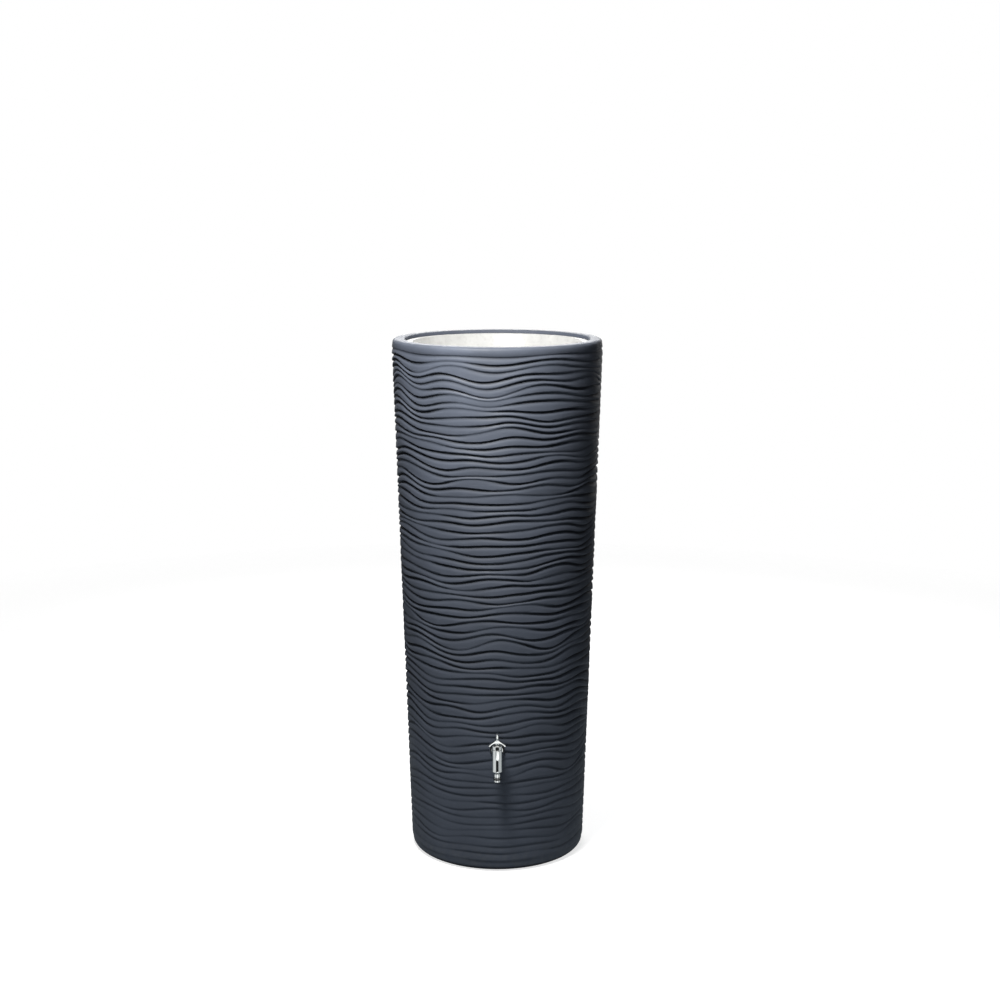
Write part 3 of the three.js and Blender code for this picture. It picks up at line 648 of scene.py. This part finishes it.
def foot_outline():
    """The underside, with shallow moulded rings, and the round corner up to the wall."""
    outline = [(0, 0)]
    for radius in FOOT_RINGS:
        outline += [(radius, 0), (radius + 3 * MM, FOOT_RING_DEPTH)]
        outline += [(radius + 9 * MM, FOOT_RING_DEPTH), (radius + 12 * MM, 0)]
    return outline + arc(BASE_RADIUS - BASE_FILLET, BASE_FILLET, BASE_FILLET, -90, 0, 8)


def inner_outline():
    """From the top of the wall over the rim, down to the ledge, and round the inside."""
    rim = TOP_RADIUS - RIM_ROUNDING
    mouth = MOUTH_RADIUS + MOUTH_ROUNDING
    inside = BASE_RADIUS - BASE_FILLET
    outline = arc(rim, TANK_TOP - RIM_ROUNDING, RIM_ROUNDING, 0, 90, 6)
    outline += arc(mouth, TANK_TOP - MOUTH_ROUNDING, MOUTH_ROUNDING, 90, 180, 3)
    outline += softened(
        [
            (MOUTH_RADIUS, TANK_TOP - MOUTH_ROUNDING - 1 * MM),
            (MOUTH_RADIUS, LEDGE_Z),
            (LEDGE_RADIUS, LEDGE_Z),
            (LEDGE_RADIUS, LEDGE_Z - WALL),
            (MOUTH_RADIUS + WALL, LEDGE_Z - WALL),
            (MOUTH_RADIUS + WALL, TANK_TOP - WALL),
            (rim, TANK_TOP - WALL),
        ],
        1.2 * MM,
        2,
    )[3:-3]
    outline += arc(rim, TANK_TOP - RIM_ROUNDING, RIM_ROUNDING - WALL, 90, 0, 3)
    outline += [(wall_radius(z) - WALL, z) for z in np.linspace(1.3, 0.1, 6)]
    outline += arc(inside, BASE_FILLET, BASE_FILLET - WALL, 0, -90, 5)
    return outline + [(150 * MM, WALL), (0, WALL)]


def wall_place(node, at_back):
    """A frame on a boss's flat face: its +Z points out of the wall, and its +Y up."""
    low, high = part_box(node)
    middle = (low + high) / 2
    face = high.y if at_back else low.y
    turn = Matrix.Rotation(math.pi if at_back else 0, 4, "Z")
    return Matrix.Translation((0, face, middle.z)) @ turn @ Matrix.Rotation(math.pi / 2, 4, "X")


INLET_SEAL = 2.8 * MM  # from the boss to the outer face of the inlet's gasket
TAP = wall_place("tap_insert", False)
DRAIN = wall_place("drain_insert", True)
INLET = wall_place("inlet_gasket", True) @ Matrix.Translation((0, 0, -INLET_SEAL))

THREAD_BOSS = (22.5 * MM, 23 * MM)  # radius and depth
INLET_BOSS = (36.5 * MM, 12 * MM)
INSERT_HOLE = (17.4 * MM, -20 * MM, 9 * MM)  # radius, and from where to where
THREAD_HOLE = (13.5 * MM, -30 * MM, -10 * MM)
INLET_HOLE = (20.8 * MM, -20 * MM, 9 * MM)


def boss(place, radius, depth):
    outline = softened([(0, -depth), (radius, -depth), (radius, 0), (0, 0)], 1.2 * MM)
    return turned("boss", outline, place, AROUND_SMALL)


def hole(place, radius, low, high):
    outline = [(0, low), (radius, low), (radius, high), (0, high)]
    return turned("hole", outline, place, AROUND_SMALL)


def mark_grooves(obj):
    """Gives each point how deep in a groove it lies, from 0 to 1, for the material, which paints
    shade in the grooves from it.
    """
    points = np.zeros(len(obj.data.vertices) * 3)
    obj.data.vertices.foreach_get("co", points)
    x, y, z = points.reshape(-1, 3).T
    dent = (crest_radius(z) - np.hypot(x, y)) / RELIEF_DEPTH
    rippled = (z > BASE_FILLET) & (z < TANK_TOP - RIM_ROUNDING) & (dent < 1.3)
    depth = np.where(rippled, np.clip(dent, 0, 1), 0)
    groove = obj.data.attributes.new("groove", "FLOAT", "POINT")
    groove.data.foreach_set("value", depth.astype(np.float32))


def tank():
    angles = np.arange(COLUMNS) * (2 * math.pi / COLUMNS)
    rings = plain_rows(foot_outline(), angles) + relief_rows(angles)
    rings += plain_rows(inner_outline(), angles)
    obj = swept("tank", rings)
    joined(obj, boss(TAP, *THREAD_BOSS), boss(DRAIN, *THREAD_BOSS), boss(INLET, *INLET_BOSS))
    cut(
        obj,
        hole(TAP, *INSERT_HOLE),
        hole(DRAIN, *INSERT_HOLE),
        hole(TAP, *THREAD_HOLE),
        hole(DRAIN, *THREAD_HOLE),
        hole(INLET, *INLET_HOLE),
    )
    mark_grooves(obj)
    smooth(obj, 52)
    return finished(obj, "barrel", "tank_plastic", "tank_shell")


# ---------------------------------------------------------------- planter

BOWL_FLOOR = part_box("planter_bowl")[0].z + 4 * MM
FLANGE_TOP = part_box("planter_bowl")[1].z
FLANGE_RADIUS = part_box("planter_bowl")[1].x
BOWL_RADIUS = LEDGE_RADIUS - 4 * MM
BOWL_WALL = 4 * MM
BOWL_CORNER = 26 * MM
BOWL_TAPER = 48 * MM
CORNER_HEIGHT = BOWL_FLOOR - BOWL_WALL + BOWL_CORNER
FLANGE_BOTTOM = FLANGE_TOP - 5 * MM
SOIL_LINE = FLANGE_TOP - 38 * MM  # a fine moulded line round the inside
LINE_RELIEF = 0.8 * MM
FLOOR_HOLE = 30 * MM
BOWL_RIBS = 12
SEAL_THICKNESS = 3 * MM
SEAL_CLEARANCE = 0.6 * MM
STRAINER_WALL = 2 * MM
STRAINER_COLLAR = 10 * MM
STRAINER_RISE = 10 * MM
STRAINER_FLANGE = 5 * MM
STRAINER_SLOTS = 20


def upright(x, z, turn):
    """A frame whose X points away from the tank's axis and whose Y points up."""
    around = Matrix.Rotation(turn, 4, "Z")
    return around @ Matrix.Translation((x, 0, z)) @ Matrix.Rotation(math.pi / 2, 4, "X")


def bowl_outline():
    """From the hole in the floor up the outside, over the flange and down the inside."""
    corner_radius = BOWL_RADIUS - BOWL_TAPER - BOWL_CORNER
    inside = BOWL_RADIUS - BOWL_WALL
    lean = BOWL_TAPER / (FLANGE_BOTTOM - CORNER_HEIGHT)

    def wall_at(z):
        return inside - lean * (FLANGE_BOTTOM - z)

    outline = [(FLOOR_HOLE, BOWL_FLOOR - BOWL_WALL)]
    outline += arc(corner_radius, CORNER_HEIGHT, BOWL_CORNER, -90, 0, 8)
    outline += [
        (BOWL_RADIUS, FLANGE_BOTTOM),
        (FLANGE_RADIUS, FLANGE_BOTTOM),
        (FLANGE_RADIUS, FLANGE_TOP),
        (inside + 5 * MM, FLANGE_TOP),
        (inside + 4 * MM, FLANGE_TOP + 0.9 * MM),
        (inside + 1 * MM, FLANGE_TOP + 0.9 * MM),
        (inside, FLANGE_TOP - 1 * MM),
        (wall_at(SOIL_LINE + 1 * MM), SOIL_LINE + 1 * MM),
        (wall_at(SOIL_LINE) - LINE_RELIEF, SOIL_LINE),
        (wall_at(SOIL_LINE - 2 * MM) - LINE_RELIEF, SOIL_LINE - 2 * MM),
        (wall_at(SOIL_LINE - 3 * MM), SOIL_LINE - 3 * MM),
    ]
    outline += arc(corner_radius, CORNER_HEIGHT, BOWL_CORNER - BOWL_WALL, 0, -90, 8)
    return outline + [(FLOOR_HOLE + 12 * MM, BOWL_FLOOR), (FLOOR_HOLE, BOWL_FLOOR - 0.5 * MM)]


def bowl_ribs():
    """Ribs across the bowl's floor, and up the outside of its wall."""
    floor_rib = softened(in_mm([(-58, -1), (58, -1), (62, 2.2), (-56, 2.2)]), 1.4 * MM)
    low, high = CORNER_HEIGHT + 4 * MM, FLANGE_BOTTOM + 1 * MM
    foot, head = BOWL_RADIUS - BOWL_TAPER, BOWL_RADIUS
    wall_rib = [(foot - 1 * MM, low), (foot + 2 * MM, low + 3 * MM)]
    wall_rib += [(head + 2 * MM, high), (head - 1 * MM, high)]
    ribs = []
    for turn in np.arange(BOWL_RIBS) * (2 * math.pi / BOWL_RIBS):
        place = upright(104 * MM, BOWL_FLOOR, turn) @ Matrix.Translation((0, 0, -2 * MM))
        ribs.append(bar("rib", floor_rib, 0, 4 * MM, 0.8 * MM, place))
        place = upright(0, 0, turn) @ Matrix.Translation((0, 0, -2.5 * MM))
        ribs.append(bar("rib", wall_rib, 0, 5 * MM, 0.8 * MM, place))
    return ribs


def planter():
    obj = turned("planter", softened(bowl_outline(), 0.8 * MM, 2), around=AROUND_BOWL)
    joined(obj, *bowl_ribs())
    smooth(obj)
    return finished(obj, "planter", "bowl_plastic", "planter_bowl")


def seal():
    """An angle-shaped ring: under the bowl's flange, and up between it and the mouth."""
    foot = LEDGE_Z + GAP
    lip = MOUTH_RADIUS - SEAL_CLEARANCE
    outline = [
        (LEDGE_RADIUS + GAP, foot),
        (lip, foot),
        (lip, FLANGE_TOP),
        (lip - SEAL_THICKNESS, FLANGE_TOP),
        (lip - SEAL_THICKNESS, foot + SEAL_THICKNESS),
        (LEDGE_RADIUS + GAP, foot + SEAL_THICKNESS),
    ]
    obj = turned("seal", softened(outline, 0.9 * MM), around=AROUND_BOWL)
    return finished(smooth(obj, 60), "barrel", "rubber", "bowl_seal")


def slot_outline(length, width, steps=6):
    """A strip along X with round ends."""
    reach = (length - width) / 2
    return arc(reach, 0, width / 2, -90, 90, steps) + arc(-reach, 0, width / 2, 90, 270, steps)


def strainer():
    seat = BOWL_FLOOR + GAP
    wall = STRAINER_WALL
    collar = FLOOR_HOLE - GAP
    collar_end = seat - STRAINER_COLLAR
    flange = collar + STRAINER_FLANGE
    inside = collar - wall
    dome = inside + 1 * MM

    def dome_height(share):
        return seat + wall + STRAINER_RISE * math.cos(math.pi / 2 * share**1.5)

    shares = np.linspace(0, 1, 12)
    outline = [(share * inside, dome_height(share) - wall) for share in shares]
    outline[-1] = (inside, seat)
    outline += [(inside, collar_end), (collar, collar_end), (collar, seat)]
    outline += [(flange, seat), (flange, seat + wall)]
    outline += [(share * dome, dome_height(share)) for share in shares[::-1]]
    obj = turned("strainer", softened(outline, 0.7 * MM, 2))
    slots = []
    for i in range(STRAINER_SLOTS):
        turn = Matrix.Rotation(2 * math.pi * i / STRAINER_SLOTS, 4, "Z")
        middle, length = (17 * MM, 14 * MM) if i % 2 == 0 else (21.5 * MM, 6 * MM)
        place = turn @ Matrix.Translation((middle, 0, seat + 3 * MM))
        slots.append(bar("slot", slot_outline(length, 3 * MM), 0, 12 * MM, 0.1 * MM, place))
    cut(obj, *slots)
    return finished(smooth(obj), "strainer", "black_plastic", "drain_strainer")


# ---------------------------------------------------------------- tap

# Shapes in millimetres. TAP's origin is on the boss face, +Z points out and +Y up.
# COLUMN's origin is where the inlet's axis meets the column's, +Z points up and -Y out.
TAP_REACH = 42
CAP_HEIGHT = 19.2
INLAY_HEIGHT = -30.5
RING_RADIUS, RING_HEIGHT = 9, -71.3
DRAIN_NOTCHES = 18
INLET_BARBS = 4
INLET_GUSSETS = 8
COLUMN = TAP @ Matrix.Translation((0, 0, TAP_REACH * MM)) @ Matrix.Rotation(-math.pi / 2, 4, "X")


def lathed(name, outline, place, rounding, around=AROUND_SMALL):
    """A closed outline in millimetres turned round the place's +Z, with softened corners."""
    soft = softened(in_mm(outline), rounding * MM)
    return turned(name, divided(soft, 1.6 * MM), place, around)


def drilled(place, radius, low, high):
    return hole(place, radius * MM, low * MM, high * MM)


def moved(place, x, y, z):
    return place @ Matrix.Translation((x * MM, y * MM, z * MM))


def turned_up(outline):
    """A strip along X, turned to run along Y."""
    return [(-y, x) for x, y in outline]


def rectangle(width, height, corner):
    x, y = width / 2, height / 2
    return softened([(-x, -y), (x, -y), (x, y), (-x, y)], corner, 5)


def tap_body():
    neck = [(0, -18), (12.2, -18), (13.2, -17), (13.2, 4.6), (15.6, 4.6), (15.6, 9.6)]
    neck += [(13.4, 9.6), (11.4, 13), (11, 18), (11, 29), (12.4, 36), (12.4, 42), (0, 42)]
    column = [(0, -66), (8.5, -66), (8.5, -56), (14, -49), (14, -46), (13.7, -44), (13.7, 9)]
    column += [(14, 11), (14, 14), (0, 14)]
    obj = lathed("tap", neck, TAP, 0.8)
    pad = rectangle(12 * MM, 24.5 * MM, 2.2 * MM)
    slot = turned_up(slot_outline(33 * MM, 7 * MM, 8))
    joined(
        obj,
        lathed("column", column, COLUMN, 1.0),
        bar("pad", pad, 44 * MM, 57.5 * MM, 1.2 * MM, moved(TAP, 0, 0.25, 0)),
    )
    cut(
        obj,
        bar("slot", slot, 52 * MM, 60 * MM, 0.1 * MM, moved(TAP, 0, INLAY_HEIGHT, 0)),
        drilled(COLUMN, 9, -13, 9.3),  # chamber of the plug
        drilled(COLUMN, 10.5, 9.3, 15),  # socket of the bonnet
        drilled(COLUMN, 6.5, -67, -12),  # way down the spout
        drilled(TAP, 6.5, -19, 34),  # way in from the tank
        drilled(TAP, 8.4, 29.7, 40),  # pocket of the port seal
    )
    return finished(smooth(obj, 32), "barrel", "chrome", "tap_body")


def inlay():
    outline = turned_up(slot_outline(32.4 * MM, 6.4 * MM, 8))
    place = moved(TAP, 0, INLAY_HEIGHT, 0)
    obj = bar("inlay", outline, 52.3 * MM, 55 * MM, 0.9 * MM, place)
    groove = rectangle(4 * MM, 0.7 * MM, 0.3 * MM)
    grooves = []
    for y in range(-42, -18, 3):
        place = moved(TAP, 0, y, 0)
        grooves.append(bar("groove", groove, 54.5 * MM, 56 * MM, 0.1 * MM, place))
    cut(obj, *grooves)
    return finished(smooth(obj), "barrel", "black_plastic", "tap_inlay")


def bonnet():
    outline = [(3.8, 9.6), (10.2, 9.6), (10.2, 14.3), (14, 14.3), (14, 24.6), (12.2, 26.5)]
    outline += [(3.8, 26.5), (3.8, 19), (5.9, 19), (5.9, 17), (3.8, 17)]
    obj = lathed("bonnet", outline, COLUMN, 0.6)
    cut(obj, drilled(moved(TAP, 0, CAP_HEIGHT, TAP_REACH), 5.5, 10.5, 16))
    return finished(smooth(obj, 32), "barrel", "chrome", "bonnet")


def bonnet_cap():
    outline = [(0, 10.8), (5.2, 10.8), (5.2, 13.4), (4.4, 14), (2.4, 14.3), (0, 14.4)]
    obj = lathed("bonnet_cap", outline, moved(TAP, 0, CAP_HEIGHT, TAP_REACH), 0.4, 48)
    return finished(smooth(obj), "barrel", "black_plastic", "bonnet_cap")


def wings_outline():
    """The handle's two drooping wings from the front, flaring up into the blade."""
    over = [(2.6, 46), (3.1, 43), (4.6, 40.6), (8, 37.8), (13, 34.3), (18, 30.6), (21.4, 28)]
    tip = [(23, 26.4), (23.6, 24.6), (22.9, 22.9), (21.3, 22), (19.5, 22.6)]
    under = [(17.4, 25), (15.2, 27.2), (12.6, 29), (9.4, 30.8), (6, 31.8), (2, 32)]
    right = over + tip + under
    left = [(-x, y) for x, y in reversed(right)]
    return in_mm(right + left)


def blade_outline():
    """The handle's blade from the side."""
    outline = [(-6.5, 36), (6.5, 36), (7, 42), (9.6, 46.5), (10, 50), (10, 59), (-10, 59)]
    outline += [(-10, 50), (-9.6, 46.5), (-7, 42)]
    return softened(in_mm(outline), 4.5 * MM, 6)


def handle():
    front = moved(TAP, 0, 0, TAP_REACH)
    obj = bar("handle", wings_outline(), -6.5 * MM, 6.5 * MM, 1.3 * MM, front, 4)
    side = COLUMN @ Matrix.Rotation(math.pi / 2, 4, "Z") @ Matrix.Rotation(math.pi / 2, 4, "X")
    blade = bar("blade", blade_outline(), -3 * MM, 3 * MM, 1.6 * MM, side, 4)
    hub = lathed("hub", [(0, 27.1), (6.5, 27.1), (6.5, 33), (5.6, 36.6), (0, 36.6)], COLUMN, 0.7)
    joined(obj, blade, hub)
    cut(
        obj,
        drilled(COLUMN, 3.8, 26, 36.9),  # socket of the stem
        drilled(moved(front, 0, 30.1, 0), 1.9, 3.5, 8),  # hole of the set screw
    )
    return finished(smooth(obj, 32), "valve", "chrome", "tap_handle")


def nozzle():
    outline = [(4.6, -57), (4.6, -80), (8, -80), (9, -79), (9, -75), (8.6, -74.6), (8.6, -73.6)]
    outline += [(7.2, -73.6), (7.2, -69), (9, -69), (9, -67.6), (6.2, -67.6), (6.2, -57)]
    obj = lathed("nozzle", outline, COLUMN, 0.4)
    return finished(smooth(obj, 32), "barrel", "chrome", "spout_nozzle")


def drain_plug():
    body = [(0, -16), (12.2, -16), (13.2, -15), (13.2, 3), (19.2, 3), (19.2, 5.4), (18, 6), (0, 6)]
    obj = lathed("drain_plug", body, DRAIN, 0.6)
    head = polygon(16 * MM, 6, 2 * MM)
    place = DRAIN @ Matrix.Rotation(math.pi / 2, 4, "Z")
    joined(obj, bar("head", head, 4 * MM, 14 * MM, 1 * MM, place))
    web = rectangle(3.2 * MM, 22 * MM, 0.5 * MM)
    cut(obj, drilled(DRAIN, 9, 9.5, 15))
    joined(obj, bar("web", web, 6 * MM, 13 * MM, 0.6 * MM, DRAIN))
    notch = rectangle(3 * MM, 3 * MM, 1 * MM)  # finger grips round the flange
    notches = []
    for i in range(DRAIN_NOTCHES):
        turn = DRAIN @ Matrix.Rotation(2 * math.pi * i / DRAIN_NOTCHES, 4, "Z")
        notches.append(bar("notch", notch, 2 * MM, 7 * MM, 0.1 * MM, moved(turn, 20, 0, 0)))
    cut(obj, *notches)
    return finished(smooth(obj, 32), "drain_stopper", "black_plastic", "drain_plug")


def inlet():
    outline = [(13, -23.3), (20.5, -23.3), (20.5, 3.1), (29.5, 3.1), (29.5, 6.8), (28.6, 7.6)]
    outline += [(15.6, 7.6)]
    for i in range(INLET_BARBS):
        barb = 21.4 + 8.05 * i
        outline += [(15.6, barb), (17, barb)]
    outline += [(15.6, 53.6), (13, 53.6)]
    obj = lathed("inlet", outline, INLET, 0.35)
    gusset = softened(in_mm([(14, 7), (27, 7), (27, 8.6), (17, 18), (14, 19)]), 0.6 * MM)
    gussets = []
    for i in range(INLET_GUSSETS):
        turn = INLET @ Matrix.Rotation(2 * math.pi * i / INLET_GUSSETS, 4, "Z")
        place = turn @ Matrix.Rotation(math.pi / 2, 4, "X")
        gussets.append(bar("gusset", gusset, -1.3 * MM, 1.3 * MM, 0.5 * MM, place))
    joined(obj, *gussets)
    return finished(smooth(obj, 32), "barrel", "black_plastic", "inlet_fitting")


def nozzle_ring():
    outline = rectangle(3.2 * MM, 4.2 * MM, 1.5 * MM)
    outline = [(RING_RADIUS * MM + x, RING_HEIGHT * MM + y) for x, y in outline]
    obj = turned("nozzle_ring", outline, COLUMN, AROUND_SMALL)
    return finished(smooth(obj, 60), "barrel", "rubber", "nozzle_ring")


def flat_seal(name, node, body, place, inner, outer, thickness):
    """A flat rubber washer under a flange, its edge slightly squeezed out."""
    low, high = 0.3, 0.3 + thickness
    edge = outer - 0.3
    outline = [(inner, low), (edge, low), (outer, (low + high) / 2), (edge, high), (inner, high)]
    obj = lathed(name, outline, place, 0.5, 96)
    return finished(smooth(obj, 60), body, "rubber", node)


tank()
planter()
seal()
strainer()
tap_body()
inlay()
bonnet()
bonnet_cap()
handle()
nozzle()
nozzle_ring()
drain_plug()
inlet()
flat_seal("tap_seal", "tap_gasket", "barrel", TAP, 13.5, 20.2, 4)
flat_seal("drain_washer", "drain_seal", "drain_washer", DRAIN, 13.5, 18.2, 2.4)
flat_seal("inlet_seal", "inlet_gasket", "barrel", INLET, 20.8, 28.5, 2.5)

# ---------------------------------------------------------------- carried-over CAD nodes

KEPT_NODES = {
    "tap_insert": "brass",
    "drain_insert": "brass",
    "port_seal": "white_plastic",
    "valve_plug": "black_plastic",
    "plug_o_ring_lower": "rubber",
    "plug_o_ring_upper": "rubber",
    "stem_o_ring": "rubber",
    "handle_screw": "steel",
    "nozzle_washer": "rubber",
    "inlet_nut": "black_plastic",
}
for name, slot in KEPT_NODES.items():
    for place in frame["nodes"][name].material_slots:
        place.material = SLOTS[slot]

# ---------------------------------------------------------------- stage, lights and camera

CAMERA_PLACE = (0.0076, -4.735, 1.912)
CAMERA_PITCH = 10.69  # degrees below level
CAMERA_LENS = 60.9
SENSOR_WIDTH = 36
WARM, COOL, NEUTRAL = (1, 0.985, 0.96), (0.84, 0.94, 1), (1, 1, 1)  # colours of the lights
KEY_PLACE, KEY_TARGET = (-0.32, -0.97, 2.32), (0, 0, 1.25)
TAP_TARGET = (0, -0.3, 0.34)
AMBIENT = 0.05
FLOOR_RADIUS = 6.0
FLOOR_INNER = 0.25
FLOOR_Z = -0.5 * MM
FLOOR_SIDES = 96
FLOOR_RINGS = 24
FLOOR_GLOW = 0.72  # keeps the floor pale without lighting the object


def floor():
    """A pale disc that fades out before its edge."""
    radii = np.linspace(FLOOR_INNER, FLOOR_RADIUS, FLOOR_RINGS)
    points = [(0, 0, FLOOR_Z)]
    for radius in radii:
        points.extend(circle(radius, FLOOR_Z, FLOOR_SIDES))
    faces = []
    for k in range(FLOOR_SIDES):
        a, b = 1 + k, 1 + (k + 1) % FLOOR_SIDES
        faces.append([0, a, b])
        for start in range(0, FLOOR_SIDES * (FLOOR_RINGS - 1), FLOOR_SIDES):
            low, high = start, start + FLOOR_SIDES
            faces.append([a + low, a + high, b + high, b + low])
    obj = mesh_object("floor", points, faces)
    s = Shader("floor", (0.6, 0.6, 0.6), 0.9)
    s.surface.inputs["Emission Color"].default_value = (1, 1, 1, 1)
    s.surface.inputs["Emission Strength"].default_value = FLOOR_GLOW
    clear = s.node("ShaderNodeBsdfTransparent").outputs["BSDF"]
    distance = s.node("ShaderNodeVectorMath", {0: s.position}, operation="LENGTH").outputs["Value"]
    share = s.ranged(distance, 0.2 * FLOOR_RADIUS, 0.7 * FLOOR_RADIUS)
    mixed = s.node("ShaderNodeMixShader", {0: share, 1: s.surface.outputs["BSDF"], 2: clear})
    s.links.new(mixed.outputs[0], s.nodes["Material Output"].inputs["Surface"])
    obj.data.materials.append(s.material)
    obj.visible_diffuse = False
    obj.visible_glossy = False
    obj.visible_shadow = False


def area_light(name, place, target, size, energy, colour=NEUTRAL, only=None):
    """A soft light panel, which may light only the objects of one collection."""
    light = bpy.data.lights.new(name, "AREA")
    light.shape = "RECTANGLE"
    light.size, light.size_y = size
    light.energy = energy
    light.color = colour
    obj = bpy.data.objects.new(name, light)
    obj.location = place
    obj.rotation_euler = (Vector(target) - Vector(place)).to_track_quat("-Z", "Y").to_euler()
    obj.visible_camera = False
    if only is not None:
        obj.light_linking.receiver_collection = only
    bpy.context.scene.collection.objects.link(obj)


def world():
    """White behind the object, with only a faint light from it."""
    made = bpy.data.worlds.new("studio")
    made.use_nodes = True
    nodes, links = made.node_tree.nodes, made.node_tree.links
    ambient = nodes["Background"]
    ambient.inputs["Color"].default_value = (0.96, 0.98, 1, 1)
    ambient.inputs["Strength"].default_value = AMBIENT
    seen = nodes.new("ShaderNodeBackground")
    seen.inputs["Color"].default_value = (1, 1, 1, 1)
    path = nodes.new("ShaderNodeLightPath")
    mix = nodes.new("ShaderNodeMixShader")
    links.new(path.outputs["Is Camera Ray"], mix.inputs[0])
    links.new(ambient.outputs[0], mix.inputs[1])
    links.new(seen.outputs[0], mix.inputs[2])
    links.new(mix.outputs[0], nodes["World Output"].inputs["Surface"])
    bpy.context.scene.world = made


def camera():
    data = bpy.data.cameras.new("camera")
    data.lens = CAMERA_LENS
    data.sensor_width = SENSOR_WIDTH
    obj = bpy.data.objects.new("camera", data)
    obj.location = CAMERA_PLACE
    obj.rotation_euler = (math.radians(90 - CAMERA_PITCH), 0, 0)
    bpy.context.scene.collection.objects.link(obj)
    bpy.context.scene.camera = obj


def light_groups():
    """Collections of the chrome pieces, the bowl and the rest, so that each gets its own key."""
    groups = [bpy.data.collections.new(name) for name in ("metal", "bowl", "others")]
    for piece in bpy.context.scene.objects:
        if piece.get("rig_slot") == "chrome":
            groups[0].objects.link(piece)
        elif piece.name == "planter":
            groups[1].objects.link(piece)
        else:
            groups[2].objects.link(piece)
    return groups


def lights():
    metal, bowl, others = light_groups()
    area_light("key", KEY_PLACE, KEY_TARGET, (0.42, 0.42), 46, WARM, others)
    area_light("bowl_key", KEY_PLACE, KEY_TARGET, (0.6, 0.6), 27, NEUTRAL, bowl)
    area_light("low_fill", (-0.4, -3.4, 1.2), (0, 0, 0.3), (1.4, 1.4), 11, COOL)
    area_light("floor_light", (0, 0, 0.01), (0, 0, 1), (3.2, 3.2), 9, COOL)
    area_light("back", (0, 3, 2.3), (0, 0, 0.8), (1.8, 1.8), 70)
    area_light("back_right", (1.5, 2.9, 1.6), (0, 0, 0.7), (1, 2), 11)
    area_light("back_left", (-1.3, 3, 1.6), (0, 0, 0.7), (1, 2), 6)
    area_light("metal_left", (-1.3, -0.95, 0.3), TAP_TARGET, (2.2, 1.8), 5.5, NEUTRAL, metal)
    area_light("metal_right", (1.3, -0.85, 0.3), TAP_TARGET, (2, 1.8), 2.6, NEUTRAL, metal)
    area_light("metal_front", (0.25, -1.9, -0.3), TAP_TARGET, (1, 1.3), 4.5, NEUTRAL, metal)
    area_light("metal_top", (0, -1.1, 1.7), TAP_TARGET, (1.6, 1.2), 6, NEUTRAL, metal)


floor()
lights()
world()
camera()
bpy.context.scene.view_settings.view_transform = "Standard"
